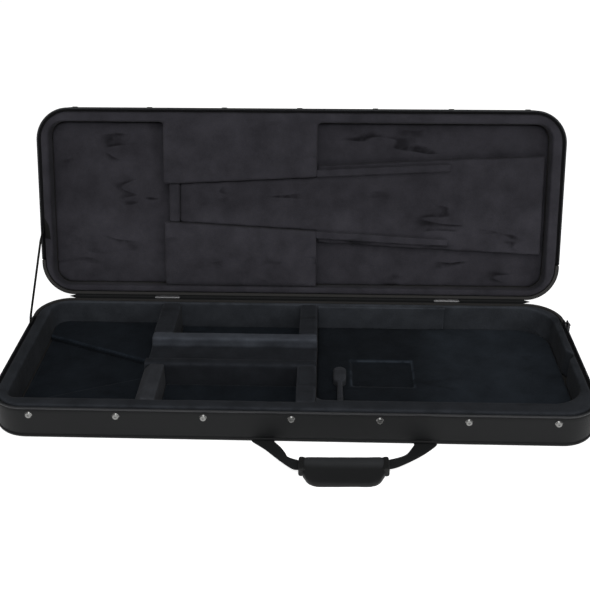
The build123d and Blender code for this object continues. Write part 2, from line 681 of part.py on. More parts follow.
def channel_edge(x, side, outwards=0.0):
    """A point on the edge of the neck channel, or that far outside it."""
    half_width = LID_CHANNEL_NARROW / 2 + CHANNEL_SLOPE * (x - LID_CHANNEL_LEFT)
    return (x, LID_NECK_Y + side * (half_width + outwards))


def lid_block(shape, drop, name, edge=LID_EDGE):
    """A pad on the lid's lining whose face lies a drop below the rim."""
    make_block(LID_OUTER, LID_LINING_TOP, LID_HEIGHT - drop, shape, name, edge)


lid_pad_front = LID_WELL_FRONT - FIT
lid_pad_back = LID_WELL_BACK + FIT
lid_block(area([channel_edge(LID_BLOCK_LEFT, 1, FIT), channel_edge(LID_BLOCK_RIGHT, 1, FIT),
                (LID_BLOCK_RIGHT, lid_pad_front), (LID_BLOCK_LEFT, lid_pad_front)],
               (0, 0, 0, LID_BLOCK_CORNER)), LID_PAD_DROP, "lid_front_pad")
lid_block(area([(LID_BLOCK_LEFT, lid_pad_back), (LID_BLOCK_RIGHT, lid_pad_back),
                channel_edge(LID_BLOCK_RIGHT, -1, FIT), channel_edge(LID_BLOCK_LEFT, -1, FIT)],
               (0, 0, 0, 0)), LID_PAD_DROP, "lid_rear_pad")
lid_block(area([channel_edge(LID_STRIP_LEFT, -1), channel_edge(LID_CHANNEL_LEFT, -1),
                channel_edge(LID_CHANNEL_LEFT, 1), channel_edge(LID_STRIP_LEFT, 1)],
               (0, 0, 0, 0)), LID_STRIP_DROP, "lid_neck_end_strip")

shoulder = LID_RIDGE_WIDTH + LID_RIDGE_SHOULDER
body_half = LID_BODY_PAD_WIDTH / 2
pad_start = LID_BLOCK_RIGHT + FIT
lid_block(area([channel_edge(LID_CHANNEL_LEFT + FIT, -1), channel_edge(pad_start, -1),
                channel_edge(pad_start, -1, shoulder), channel_edge(LID_RIDGE_END, -1, shoulder),
                (LID_BODY_PAD_RIGHT, LID_NECK_Y - body_half), (LID_BODY_PAD_RIGHT, LID_NECK_Y + body_half),
                channel_edge(LID_RIDGE_END, 1, shoulder), channel_edge(pad_start, 1, shoulder),
                channel_edge(pad_start, 1), channel_edge(LID_CHANNEL_LEFT + FIT, 1)],
               (0,) * 10), LID_CHANNEL_DROP, "lid_neck_pad")
for ridge_name, side in (("rear", -1), ("front", 1)):
    corners = [channel_edge(pad_start, side), channel_edge(LID_RIDGE_END, side),
               channel_edge(LID_RIDGE_END, side, LID_RIDGE_WIDTH),
               channel_edge(pad_start, side, LID_RIDGE_WIDTH)]
    make_block(LID_OUTER, LID_HEIGHT - LID_CHANNEL_DROP, LID_HEIGHT - LID_RIDGE_DROP,
               area(corners[::side], (0, 0, 0, 0)), f"lid_{ridge_name}_ridge", LID_EDGE)

# Handle: webbing that runs through a padded wrap, and its ends sewn under the base
strap_front = -HALF_DEPTH - PIPING_PROUD
with BuildPart() as handle_tails:
    with BuildSketch(Plane.XY.offset(STRAP_FLOOR_GAP)):
        for strap in STRAP_CENTRES:
            add(box_area(strap - STRAP_WIDTH / 2, strap + STRAP_WIDTH / 2,
                         strap_front, STRAP_TAIL - HALF_DEPTH))
    extrude(amount=STRAP_THICKNESS)
finish(handle_tails, "handle_tails")

rise = math.radians(STRAP_RISE)
strap_plane = Plane(origin=(0, strap_front - HANDLE_GAP, STRAP_FLOOR_GAP), x_dir=(1, 0, 0),
                    z_dir=(0, math.sin(rise), math.cos(rise)))
strap_near = -GRIP_STRAP_START
strap_far = -GRIP_STRAP_START - GRIP_STRAP_WIDTH
left_strap, right_strap = STRAP_CENTRES
strap_area = area([(left_strap - STRAP_WIDTH / 2, 0), (GRIP_LEFT, strap_far), (GRIP_RIGHT, strap_far),
                   (right_strap + STRAP_WIDTH / 2, 0), (right_strap - STRAP_WIDTH / 2, 0),
                   (GRIP_RIGHT, strap_near), (GRIP_LEFT, strap_near),
                   (left_strap + STRAP_WIDTH / 2, 0)], (0,) * 8)
with BuildPart() as handle_webbing:
    with BuildSketch(strap_plane):
        add(strap_area)
    extrude(amount=STRAP_THICKNESS)
finish(handle_webbing, "handle_webbing")

with BuildPart(mode=Mode.PRIVATE) as grip_slot:
    with BuildSketch(strap_plane.offset(-GRIP_SLOT_FIT)):
        add(box_area(GRIP_LEFT - BINDING_LENGTH, GRIP_RIGHT + BINDING_LENGTH,
                     strap_far - GRIP_SLOT_FIT, strap_near + GRIP_SLOT_FIT))
    extrude(amount=STRAP_THICKNESS + 2 * GRIP_SLOT_FIT)

grip_back = -HALF_DEPTH - GRIP_REACH
grip_front = grip_back - GRIP_DEPTH
pad_left = GRIP_LEFT + BINDING_LENGTH
pad_right = GRIP_RIGHT - BINDING_LENGTH
with BuildPart() as handle_grip:
    with BuildSketch():
        add(box_area(pad_left, pad_right, grip_front, grip_back,
                     (GRIP_FRONT_CORNER, GRIP_FRONT_CORNER, GRIP_BACK_CORNER, GRIP_BACK_CORNER)))
    extrude(amount=GRIP_THICKNESS)
    fillet(ends_of(handle_grip, Plane.XY), GRIP_ROUND / 2)
    add(grip_slot.part, mode=Mode.SUBTRACT)
finish(handle_grip, "handle_grip")

for binding_name, x0, x1 in (("left", GRIP_LEFT, pad_left - FIT), ("right", pad_right + FIT, GRIP_RIGHT)):
    with BuildPart() as binding:
        with BuildSketch(Plane.XY.offset(BINDING_TRIM)):
            add(box_area(x0, x1, grip_back - BINDING_DEPTH, grip_back + BINDING_TRIM))
        extrude(amount=GRIP_THICKNESS - 2 * BINDING_TRIM)
        fillet(binding.edges().filter_by(Axis.Y), BINDING_ROUND)
        add(grip_slot.part, mode=Mode.SUBTRACT)
    finish(binding, f"grip_binding_{binding_name}")

# Ribbon stay: tucked into the crease between zipper and foam at both of its ends
stay_x = STAY_INSET - HALF_LENGTH
stay_start = Vector(stay_x, STAY_BASE_Y, SEAM_HEIGHT)
stay_end = PIN + LID_ALONG * (HINGE_OFFSET + STAY_LID_REACH)
stay_end = Vector(stay_x, stay_end.Y, stay_end.Z)
stay_run = (stay_end - stay_start).normalized()
stay_across = Vector(0, -stay_run.Z, stay_run.Y)


def stay_corner(side, point, normal, depth):
    """Where one edge of the ribbon reaches a depth below a half's rim."""
    edge = stay_start + stay_across * (side * STAY_WIDTH / 2)
    target = (point - normal * depth - edge).dot(normal) / stay_run.dot(normal)
    corner = edge + stay_run * target
    return (corner.Y, corner.Z)


with BuildPart() as lid_stay:
    with BuildSketch(Plane.YZ.offset(stay_x - STAY_THICKNESS / 2)):
        add(area([stay_corner(-1, stay_start, Vector(0, 0, 1), STAY_TUCK),
                  stay_corner(-1, PIN, LID_FACING, STAY_TUCK),
                  stay_corner(1, PIN, LID_FACING, STAY_TUCK),
                  stay_corner(1, stay_start, Vector(0, 0, 1), STAY_TUCK)], (0, 0, 0, 0)))
    extrude(amount=STAY_THICKNESS)
finish(lid_stay, "lid_stay")

stay_tab_left = FOAM_INSET + FOAM_EDGE - HALF_LENGTH
with BuildPart() as stay_tab:
    with BuildSketch(LID_OUTER.offset(LID_TOP)):
        with Locations((stay_tab_left + STAY_TAB_WIDTH / 2, STAY_LID_REACH - HALF_DEPTH)):
            Rectangle(STAY_TAB_WIDTH, STAY_TAB_LENGTH)
    extrude(amount=STAY_TAB_THICKNESS)
finish(stay_tab, "stay_lid_tab")

# Zipper slider on the right side, astride the line where the two coils meet
outer_plate = HALF_LENGTH + COIL_PROUD + SLIDER_FIT
inner_plate = HALF_LENGTH - COIL_INSET - SLIDER_FIT
bail_x = outer_plate + SLIDER_PLATE + BAIL_STANDOFF
slider_back = SLIDER_Y + SLIDER_LENGTH / 2
with BuildPart() as zipper_slider:
    for plate_x in (outer_plate, inner_plate - SLIDER_PLATE):
        with BuildSketch(Plane.YZ.offset(plate_x)):
            with Locations((SLIDER_Y, SEAM_HEIGHT)):
                RectangleRounded(SLIDER_LENGTH, SLIDER_HEIGHT, SLIDER_HEIGHT / 4)
        extrude(amount=SLIDER_PLATE)
    with BuildSketch(Plane.YZ.offset(inner_plate)):
        with Locations((slider_back - SLIDER_CORE_LENGTH / 2, SEAM_HEIGHT)):
            Rectangle(SLIDER_CORE_LENGTH, SLIDER_CORE)
    extrude(amount=outer_plate - inner_plate)
    with BuildSketch(Plane.XZ.offset(-SLIDER_Y)):
        with Locations((bail_x, SEAM_HEIGHT)):
            Circle(BAIL_RADIUS)
    extrude(amount=BAIL_LENGTH / 2, both=True)
    for leg_side in (-1, 1):
        leg_y = SLIDER_Y + leg_side * (BAIL_LENGTH / 2 - BAIL_RADIUS)
        with BuildSketch(Plane.YZ.offset(outer_plate + SLIDER_PLATE / 2)):
            with Locations((leg_y, SEAM_HEIGHT)):
                Rectangle(2 * BAIL_RADIUS, 2 * BAIL_RADIUS)
        extrude(amount=bail_x - outer_plate - SLIDER_PLATE / 2)
finish(zipper_slider, "zipper_slider")

with BuildPart() as zipper_pull:
    with BuildSketch(Plane.XZ.offset(-SLIDER_Y)):
        with Locations((bail_x, SEAM_HEIGHT)):
            Circle(TAB_EYE_RADIUS)
    extrude(amount=TAB_EYE_LENGTH / 2, both=True)
    with BuildSketch(Plane.YZ.offset(bail_x - TAB_THICKNESS / 2)):
        with Locations((SLIDER_Y, SEAM_HEIGHT - TAB_EYE_RADIUS - TAB_LENGTH / 2)):
            RectangleRounded(TAB_WIDTH, TAB_LENGTH, TAB_CORNER)
        with Locations((SLIDER_Y, SEAM_HEIGHT - TAB_EYE_RADIUS)):
            Rectangle(TAB_EYE_LENGTH, 2 * TAB_EYE_RADIUS)
        with Locations((SLIDER_Y, SEAM_HEIGHT - TAB_LENGTH + TAB_WIDTH / 2)):
            Circle(TAB_HOLE_RADIUS, mode=Mode.SUBTRACT)
    extrude(amount=TAB_THICKNESS)
    with BuildSketch(Plane.XZ.offset(-SLIDER_Y)):
        with Locations((bail_x, SEAM_HEIGHT)):
            Circle(BAIL_RADIUS + PIN_FIT)
    extrude(amount=TAB_WIDTH, both=True, mode=Mode.SUBTRACT)
finish(zipper_pull, "zipper_pull")
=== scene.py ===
# %% [markdown]
# # An open electric guitar case
# A rectangular foam case lies open on a pale floor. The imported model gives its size, its
# pieces and its joints. This lesson dresses that frame: plush over the foam, woven nylon over
# the boards, a zipper, two hinges, a ribbon stay and a padded handle.

import json
import math

import bmesh
import bpy
from mathutils import Matrix, Vector, noise
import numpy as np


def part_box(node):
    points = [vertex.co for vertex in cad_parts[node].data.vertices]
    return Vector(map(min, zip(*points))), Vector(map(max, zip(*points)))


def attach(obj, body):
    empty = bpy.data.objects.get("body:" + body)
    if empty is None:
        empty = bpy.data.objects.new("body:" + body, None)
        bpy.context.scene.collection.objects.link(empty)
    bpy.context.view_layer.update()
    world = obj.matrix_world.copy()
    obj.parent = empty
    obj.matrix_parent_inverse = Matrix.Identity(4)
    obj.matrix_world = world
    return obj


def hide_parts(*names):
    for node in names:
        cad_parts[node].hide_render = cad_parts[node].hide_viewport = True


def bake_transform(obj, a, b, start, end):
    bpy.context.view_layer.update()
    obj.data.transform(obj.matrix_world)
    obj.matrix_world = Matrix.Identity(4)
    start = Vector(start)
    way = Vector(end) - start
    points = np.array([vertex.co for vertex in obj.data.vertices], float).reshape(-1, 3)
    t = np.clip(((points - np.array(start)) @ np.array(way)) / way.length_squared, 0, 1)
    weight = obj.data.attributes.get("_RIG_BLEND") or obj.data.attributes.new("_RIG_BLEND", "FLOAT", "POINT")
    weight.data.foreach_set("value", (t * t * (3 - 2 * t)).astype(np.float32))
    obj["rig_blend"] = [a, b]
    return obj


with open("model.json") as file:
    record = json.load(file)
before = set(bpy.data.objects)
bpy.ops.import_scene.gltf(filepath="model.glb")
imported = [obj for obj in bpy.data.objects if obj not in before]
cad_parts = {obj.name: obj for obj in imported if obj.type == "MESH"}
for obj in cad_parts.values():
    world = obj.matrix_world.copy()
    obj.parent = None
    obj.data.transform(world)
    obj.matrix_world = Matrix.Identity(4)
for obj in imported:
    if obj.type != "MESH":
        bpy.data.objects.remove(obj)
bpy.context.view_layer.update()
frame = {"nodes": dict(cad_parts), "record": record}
nodes = frame["nodes"]
print("pieces in the frame:", len(nodes))

# %% [markdown]
# ## The two halves share one outline
# Base and lid are trays with the same rounded plan. Both are drawn flat, outer face down, and
# the lid is then carried to its place by one matrix, taken from its hinge. Building both the
# same way keeps them the same shape, which is how the real ones are made.

# %% Places of the base and the lid
LENGTH = 1.050
DEPTH = 0.377
CORNER = 0.065
CORE_X = LENGTH / 2 - CORNER
CORE_Y = DEPTH / 2 - CORNER
hinge = next(j for j in frame["record"]["behaviour"]["joints"] if j["name"] == "lid_hinge")
PIN = Vector(hinge["pos_m"])
OPEN = math.radians(hinge["range_deg"][1])
# In the open lid, the way from the hinge to the free edge and the way that its inside faces
LID_ALONG = Vector((0, -math.cos(OPEN), math.sin(OPEN)))
LID_FACING = Vector((0, -math.sin(OPEN), -math.cos(OPEN)))
LID_HEIGHT = 0.042
lid_origin = PIN + LID_ALONG * PIN.y - LID_FACING * LID_HEIGHT
LID_PLACE = Matrix((*zip((1, 0, 0), LID_ALONG, LID_FACING, lid_origin), (0, 0, 0, 1)))
BASE_PLACE = Matrix.Identity(4)
PLACES = {"base": BASE_PLACE, "lid": LID_PLACE, "handle": BASE_PLACE, "slider": BASE_PLACE}
print("hinge at", tuple(PIN), "open", round(math.degrees(OPEN)), "degrees")

# %% [markdown]
# ## Writing shader nodes in few lines
# A surface is a small tree of nodes. Each kind of node that is used often gets a helper that
# makes it, feeds it and returns its output.


# %% Helpers for shader nodes
def new_group(name, inputs, outputs):
    """An empty node group with named sockets, and its two end nodes."""
    group = bpy.data.node_groups.new(name, "ShaderNodeTree")
    for label, kind, value in inputs:
        made = group.interface.new_socket(name=label, in_out="INPUT", socket_type=kind)
        if value is not None:
            made.default_value = value
    for label, kind in outputs:
        group.interface.new_socket(name=label, in_out="OUTPUT", socket_type=kind)
    return group, group.nodes.new("NodeGroupInput"), group.nodes.new("NodeGroupOutput")


def math_node(tree, operation, first, second=None):
    """A maths node whose inputs are sockets or plain numbers; returns its output."""
    node = tree.nodes.new("ShaderNodeMath")
    node.operation = operation
    for slot, value in zip(node.inputs, (first, second)):
        if value is None:
            continue
        if isinstance(value, (int, float)):
            slot.default_value = value
        else:
            tree.links.new(value, slot)
    return node.outputs[0]


def product(tree, first, *others):
    """All the values multiplied together."""
    for other in others:
        first = math_node(tree, "MULTIPLY", first, other)
    return first


def blend_values(tree, factor, low, high):
    """low where factor is 0 and high where it is 1."""
    return math_node(tree, "ADD", product(tree, factor, high - low), low)


def noise_node(tree, vector, scale, detail, roughness=0.5):
    """A noise texture's value at that many features per metre."""
    node = tree.nodes.new("ShaderNodeTexNoise")
    node.inputs["Scale"].default_value = scale
    node.inputs["Detail"].default_value = detail
    node.inputs["Roughness"].default_value = roughness
    tree.links.new(vector, node.inputs["Vector"])
    return node.outputs["Fac"]


def soft_step(tree, value, start, end, low, high):
    """low before start and high after end, with a smooth change between them."""
    node = tree.nodes.new("ShaderNodeMapRange")
    node.interpolation_type = "SMOOTHSTEP"
    for label, number in (("From Min", start), ("From Max", end), ("To Min", low), ("To Max", high)):
        node.inputs[label].default_value = number
    tree.links.new(value, node.inputs["Value"])
    return node.outputs[0]


def object_place(tree):
    """The place on the object, in metres."""
    return tree.nodes.new("ShaderNodeTexCoord").outputs["Object"]


SURFACE_OUTPUTS = [("Shade", "NodeSocketFloat"), ("Normal", "NodeSocketVector")]
print("helpers for shader nodes ready")

# %% [markdown]
# ## Woven threads
# Nylon, webbing, zipper tape and ribbon are all plain weaves at different scales. One group
# makes the over-and-under of the threads from a coordinate in metres: two rounded waves, one
# for each direction, and a checker that says which thread lies on top. It is built once and
# each cloth gives it its own thread count.

# %% Group for a plain weave
THREAD_RELIEF = 0.0003
# Painted shade: the valleys between the threads are painted darker in the cloth's colour.
SHADE_BETWEEN_THREADS = 0.72
weave_inputs = [
    ("Vector", "NodeSocketVector", None),
    ("Threads", "NodeSocketFloat", 900.0),
    ("Relief", "NodeSocketFloat", 0.5),
]
weave, weave_in, weave_out = new_group("plain weave", weave_inputs, SURFACE_OUTPUTS)


def thread_wave(count):
    """The rounded back of each thread: 1 on its crest and 0 between two threads."""
    return math_node(weave, "ABSOLUTE", math_node(weave, "SINE", product(weave, count, math.pi)))


threads = weave.nodes.new("ShaderNodeVectorMath")
threads.operation = "SCALE"
weave.links.new(weave_in.outputs["Vector"], threads.inputs[0])
weave.links.new(weave_in.outputs["Threads"], threads.inputs["Scale"])
split = weave.nodes.new("ShaderNodeSeparateXYZ")
weave.links.new(threads.outputs[0], split.inputs[0])
over = weave.nodes.new("ShaderNodeTexChecker")
over.inputs["Scale"].default_value = 1.0
over.inputs["Color1"].default_value = (1, 1, 1, 1)
over.inputs["Color2"].default_value = (0, 0, 0, 1)
weave.links.new(threads.outputs[0], over.inputs["Vector"])
under = math_node(weave, "SUBTRACT", 1.0, over.outputs["Fac"])
warp_part = product(weave, thread_wave(split.outputs["X"]), over.outputs["Fac"])
weft_part = product(weave, thread_wave(split.outputs["Y"]), under)
thread_height = math_node(weave, "ADD", warp_part, weft_part)
raise_threads = weave.nodes.new("ShaderNodeBump")
raise_threads.inputs["Distance"].default_value = THREAD_RELIEF
weave.links.new(weave_in.outputs["Relief"], raise_threads.inputs["Strength"])
weave.links.new(thread_height, raise_threads.inputs["Height"])
weave.links.new(blend_values(weave, thread_height, SHADE_BETWEEN_THREADS, 1.0), weave_out.inputs["Shade"])
weave.links.new(raise_threads.outputs["Normal"], weave_out.inputs["Normal"])
print("group:", weave.name)

# %% [markdown]
# ## Plush pile
# The lining is a short velour. Its pile leans, so broad patches read lighter or darker, and
# where a hand has brushed it the other way a soft dark stroke remains, steeper on one side.
# The strokes are contour lines of a slow, stretched noise, kept only where a second noise lets
# them through and broken up by a third. A fine noise gives the pile itself.

# %% Brush strokes in the pile
STROKE_TURN = math.radians(24)
STROKE_STRETCH = 0.26
STROKE_START, STROKE_CREST, STROKE_END = 0.514, 0.532, 0.600
pile_inputs = [
    ("Vector", "NodeSocketVector", None),
    ("Strokes", "NodeSocketFloat", 0.6),
    ("Relief", "NodeSocketFloat", 0.4),
]
pile, pile_in, pile_out = new_group("plush pile", pile_inputs, SURFACE_OUTPUTS)
pile_place = pile_in.outputs["Vector"]
lean = pile.nodes.new("ShaderNodeMapping")
lean.inputs["Rotation"].default_value = (0.0, STROKE_TURN, 0.0)
lean.inputs["Scale"].default_value = (STROKE_STRETCH, 1.0, 1.0)
pile.links.new(pile_place, lean.inputs["Vector"])
slow = noise_node(pile, lean.outputs[0], 15.0, 2.5)
steep_side = soft_step(pile, slow, STROKE_START, STROKE_CREST, 0.0, 1.0)
long_side = soft_step(pile, slow, STROKE_CREST, STROKE_END, 1.0, 0.0)
gate = soft_step(pile, noise_node(pile, pile_place, 12.0, 1.0), 0.48, 0.64, 0.0, 1.0)
broken = soft_step(pile, noise_node(pile, pile_place, 70.0, 2.0), 0.30, 0.60, 0.55, 1.0)
stroke = product(pile, steep_side, long_side, gate, broken, pile_in.outputs["Strokes"])
print("strokes turned", round(math.degrees(STROKE_TURN)), "degrees")

# %% Group for plush pile
PILE_RELIEF = 0.0012
patches = blend_values(pile, noise_node(pile, pile_place, 22.0, 4.0, 0.6), 0.45, 1.55)
specks = blend_values(pile, noise_node(pile, pile_place, 700.0, 1.0), 0.75, 1.25)
shade = product(pile, patches, specks, math_node(pile, "SUBTRACT", 1.0, stroke))
clumps = noise_node(pile, pile_place, 160.0, 5.0, 0.65)
raise_pile = pile.nodes.new("ShaderNodeBump")
raise_pile.inputs["Distance"].default_value = PILE_RELIEF
pile.links.new(pile_in.outputs["Relief"], raise_pile.inputs["Strength"])
pile.links.new(clumps, raise_pile.inputs["Height"])
pile.links.new(shade, pile_out.inputs["Shade"])
pile.links.new(raise_pile.outputs["Normal"], pile_out.inputs["Normal"])
print("group:", pile.name)

# %% [markdown]
# ## Finishes
# Every finish starts from the same few settings: a base colour, a roughness and what the
# surface does at a grazing angle. Numbers that are the same all over sit on the shader's own
# sockets, and only what changes over the surface comes from a group.


# %% Helpers for finishes
def new_finish(name, roughness, sheen=0.0, specular=0.5):
    """A material with its shader; sheen is for cloth."""
    made = bpy.data.materials.new(name)
    made.use_nodes = True
    shader = made.node_tree.nodes["Principled BSDF"]
    shader.inputs["Roughness"].default_value = roughness
    shader.inputs["Specular IOR Level"].default_value = specular
    if sheen:
        shader.inputs["Sheen Weight"].default_value = sheen
        shader.inputs["Sheen Roughness"].default_value = 0.45
    return made, made.node_tree, shader


def tint(tree, shader, colour, shade):
    """Base colour times a shade that changes over the surface."""
    scale = tree.nodes.new("ShaderNodeVectorMath")
    scale.operation = "SCALE"
    scale.inputs[0].default_value = colour
    tree.links.new(shade, scale.inputs["Scale"])
    tree.links.new(scale.outputs[0], shader.inputs["Base Color"])


def place_group(tree, group, vector, values):
    """One use of a shared group, with its own numbers."""
    node = tree.nodes.new("ShaderNodeGroup")
    node.node_tree = group
    tree.links.new(vector, node.inputs["Vector"])
    for label, value in values.items():
        node.inputs[label].default_value = value
    return node


print("helpers for finishes ready")

# %% [markdown]
# ## Plush with painted light and shade
# Light and shade are painted into the plush. Each surface gets its own copy of the same cloth: darker copies
# for the floors deep in the wells, and lighter ones for walls and facets that face the lamps. A turn paints
# a ramp of light and shade along one axis, and edges get a painted highlight where the mesh marks them.


# %% Plush finishes
def paint_light_ramp(tree, where, shade, turn, ragged):
    """Paints a ramp of light and shade, a gain along an axis; turn = (axis, from, to, gain)."""
    axis, start, end, gain = turn
    parts = tree.nodes.new("ShaderNodeSeparateXYZ")
    tree.links.new(where, parts.inputs[0])
    drift = blend_values(tree, noise_node(tree, where, 18.0, 3.0), -ragged, ragged)
    change = soft_step(tree, math_node(tree, "ADD", parts.outputs[axis], drift), start, end, 1.0, gain)
    return product(tree, shade, change)


def plush_finish(name, colour, strokes, relief=0.6, turn=None, ragged=0.04, painted_highlight=0.0):
    """Short velour over foam, with a painted highlight where the mesh marks an edge and a painted ramp of
    light and shade along the turn.
    """
    made, tree, shader = new_finish(name, 0.95, sheen=0.03, specular=0.05)
    where = object_place(tree)
    cloth = place_group(tree, pile, where, {"Strokes": strokes, "Relief": relief})
    shade = cloth.outputs["Shade"]
    # Painted light and shade: a ramp of gain along one axis.
    if turn is not None:
        shade = paint_light_ramp(tree, where, shade, turn, ragged)
    # Painted highlight: lighter where the mesh marks an edge.
    if painted_highlight:
        edge = tree.nodes.new("ShaderNodeAttribute")
        edge.attribute_name = "painted_highlight"
        uneven = soft_step(tree, noise_node(tree, where, 45.0, 2.0), 0.35, 0.55, 0.25, 1.0)
        shade = math_node(tree, "ADD", shade, product(tree, edge.outputs["Fac"], uneven, painted_highlight))
    tint(tree, shader, colour, shade)
    tree.links.new(cloth.outputs["Normal"], shader.inputs["Normal"])
    return made


LID_TONE = (0.0340, 0.0329, 0.0394)
# Painted light: both lid plushes are painted darker above 0.26 m and lighter lower down.
lid_plush = plush_finish("lid plush", LID_TONE, 0.72, 0.45, turn=("Z", 0.19, 0.26, 0.76))
lid_rim_plush = plush_finish("lid rim plush", LID_TONE, 0.12, 0.45, turn=("Z", 0.19, 0.26, 0.80))
base_plush = plush_finish("base plush", (0.0190, 0.0208, 0.0245), 0.3, painted_highlight=1.0)
# Painted light: a lighter copy of the plush for the chamfered divider facet and the horn pad.
lit_plush = plush_finish("plush with painted light", (0.0330, 0.0350, 0.0400), 0.2, painted_highlight=0.5)
# Painted light: the rim's plush is lighter than the base plush and painted half again lighter on the back
# walls.
lit_wall_plush = plush_finish(
    "rim plush", (0.0210, 0.0232, 0.0272), 0.2, turn=("Y", 0.11, 0.15, 1.5), painted_highlight=0.7)
# Painted sheen: the neck rest's plush is painted about three times lighter towards its rear top.
rest_plush_painted_sheen = plush_finish(
    "neck rest plush", (0.0160, 0.0178, 0.0214), 0.2, turn=("Y", 0.031, 0.040, 3.1), ragged=0.004, painted_highlight=0.7)
# Painted shade: a darker copy of the plush for the floors and pads deep in the wells.
shaded_floor_plush = plush_finish("floor plush", (0.0088, 0.0115, 0.0152), 0.3, painted_highlight=2.2)
# Painted shade and light: the body floor is a darker copy, painted nearly twice as light towards its right
# end.
body_plush_painted_light_and_shade = plush_finish(
    "body floor plush", (0.0088, 0.0110, 0.0140), 0.25, turn=("X", 0.20, 0.30, 1.9), painted_highlight=2.6)
print("plush finishes:", len(bpy.data.materials))

# %% [markdown]
# ## Woven cloths
# The case is covered in a fine nylon with hardly any shine. Its piping, zipper tape, webbing,
# grip and ribbon differ only in thread count, tone and gleam, so one function makes them all.
# The grip has painted light along its upper fold, by the same ramp as the plush.


# %% Woven finishes
def woven_finish(name, colour, threads_per_metre, relief, roughness, sheen=0.01, specular=0.2, turn=None):
    """Any woven cloth, laid along the piece by its thread map."""
    made, tree, shader = new_finish(name, roughness, sheen=sheen, specular=specular)
    along = tree.nodes.new("ShaderNodeUVMap")
    along.uv_map = "threads"
    cloth = place_group(tree, weave, along.outputs[0], {"Threads": threads_per_metre, "Relief": relief})
    where = object_place(tree)
    dust = blend_values(tree, noise_node(tree, where, 14.0, 3.0), 0.85, 1.15)
    shade = product(tree, cloth.outputs["Shade"], dust)
    if turn is not None:
        shade = paint_light_ramp(tree, where, shade, turn, 0.003)
    tint(tree, shader, colour, shade)
    tree.links.new(cloth.outputs["Normal"], shader.inputs["Normal"])
    return made


CASE_BLACK = (0.0060, 0.0065, 0.0070)
nylon = woven_finish("case nylon", CASE_BLACK, 900.0, 0.3, 0.62, specular=0.16)
piping_cloth = woven_finish("piping nylon", CASE_BLACK, 900.0, 0.3, 0.55, specular=0.16)
tape_cloth = woven_finish(
    "zipper tape", (0.0080, 0.0080, 0.0092), 1400.0, 0.4, 0.8, sheen=0.02, specular=0.15)
webbing_cloth = woven_finish("handle webbing", (0.0125, 0.0136, 0.0142), 520.0, 0.9, 0.7)
# Painted light: the grip's colour is painted lighter towards its upper fold.
grip_cloth_painted_light = woven_finish(
    "grip nylon", (0.0085, 0.0090, 0.0096), 900.0, 0.3, 0.55, turn=("Y", -0.275, -0.260, 3.6))
binding_cloth = woven_finish("binding tape", (0.0115, 0.0118, 0.0122), 1100.0, 0.5, 0.6)
ribbon_cloth = woven_finish(
    "stay ribbon", (0.0150, 0.0150, 0.0145), 1100.0, 0.5, 0.9, sheen=0.0, specular=0.0)
print("plush and woven finishes:", len(bpy.data.materials))

# %% [markdown]
# ## Metal, plastic and board
# The hinges are satin steel with fine marks along the leaf, and the screws and cup washers
# bright nickel. The zipper's coil is black nylon plastic and its slider black lacquer: one
# speckle changes both their roughness and their tone. The trays are bare board, which shows
# nowhere but at their edges.


# %% Finishes for hard pieces
def metal_finish(name, colour, roughness, marks):
    """Metal whose roughness changes with fine marks."""
    made, tree, shader = new_finish(name, roughness)
    shader.inputs["Metallic"].default_value = 1.0
    where = object_place(tree)
    stretch = tree.nodes.new("ShaderNodeMapping")
    stretch.inputs["Scale"].default_value = (0.12, 1.0, 1.0)
    tree.links.new(where, stretch.inputs["Vector"])
    grain = noise_node(tree, stretch.outputs[0], 900.0, 3.0)
    marked = blend_values(tree, grain, roughness - marks, roughness + marks)
    tree.links.new(marked, shader.inputs["Roughness"])
    tint(tree, shader, colour, blend_values(tree, noise_node(tree, where, 120.0, 2.0), 0.88, 1.06))
    return made


steel = metal_finish("hinge steel", (0.16, 0.16, 0.165), 0.38, 0.10)
nickel = metal_finish("bright nickel", (0.21, 0.21, 0.205), 0.24, 0.08)


def speckled_finish(name, colour, speckles, detail, roughness, tones, specular=0.5):
    """Plastic or lacquer with one fine speckle; roughness and tones are (least, most)."""
    made, tree, shader = new_finish(name, sum(roughness) / 2, specular=specular)
    where = object_place(tree)
    speckle = noise_node(tree, where, speckles, detail)
    tree.links.new(blend_values(tree, speckle, *roughness), shader.inputs["Roughness"])
    tint(tree, shader, colour, blend_values(tree, speckle, *tones))
    return made


lacquer = speckled_finish("black lacquer", (0.020, 0.020, 0.022), 400.0, 3.0, (0.24, 0.42), (0.8, 1.2))
coil_plastic = speckled_finish(
    "coil nylon", (0.020, 0.021, 0.023), 600.0, 2.0, (0.36, 0.52), (0.85, 1.15), specular=0.25)
board, board_tree, board_shader = new_finish("bare board", 0.8)
board_fibres = noise_node(board_tree, object_place(board_tree), 260.0, 5.0, 0.7)
tint(board_tree, board_shader, (0.020, 0.019, 0.018), blend_values(board_tree, board_fibres, 0.7, 1.3))
print("finishes:", len(bpy.data.materials))

# %% [markdown]
# ## Hardware stays as it was turned and stamped
# Hinges, pins, screws, washers, the trays and the slider are hard pieces and already have
# their true shape in the frame, so they only need a finish.

# %% Give the hard pieces their finish
HINGES = [f"{end}_hinge_{part}" for end in ("left", "right") for part in ("base_leaf", "lid_leaf", "pin")]
HARD = {
    steel: HINGES + ["base_hinge_screws", "lid_hinge_screws"],
    nickel: ["base_cup_washers", "base_screws", "lid_cup_washers", "lid_screws"],
    board: ["base_board_tray", "lid_board_tray"],
    lacquer: ["zipper_slider", "zipper_pull"],
}
for finish, names in HARD.items():
    for name in names:
        for held in nodes[name].material_slots:
            held.material = finish
print("hard pieces:", sum(len(names) for names in HARD.values()))

# %% [markdown]
# ## Finishing a piece
# Every new piece ends the same way: its mesh is put in place, it is given a finish, it is tied to the body
# that carries it, and the plain solids of the frame that it stands for are hidden.


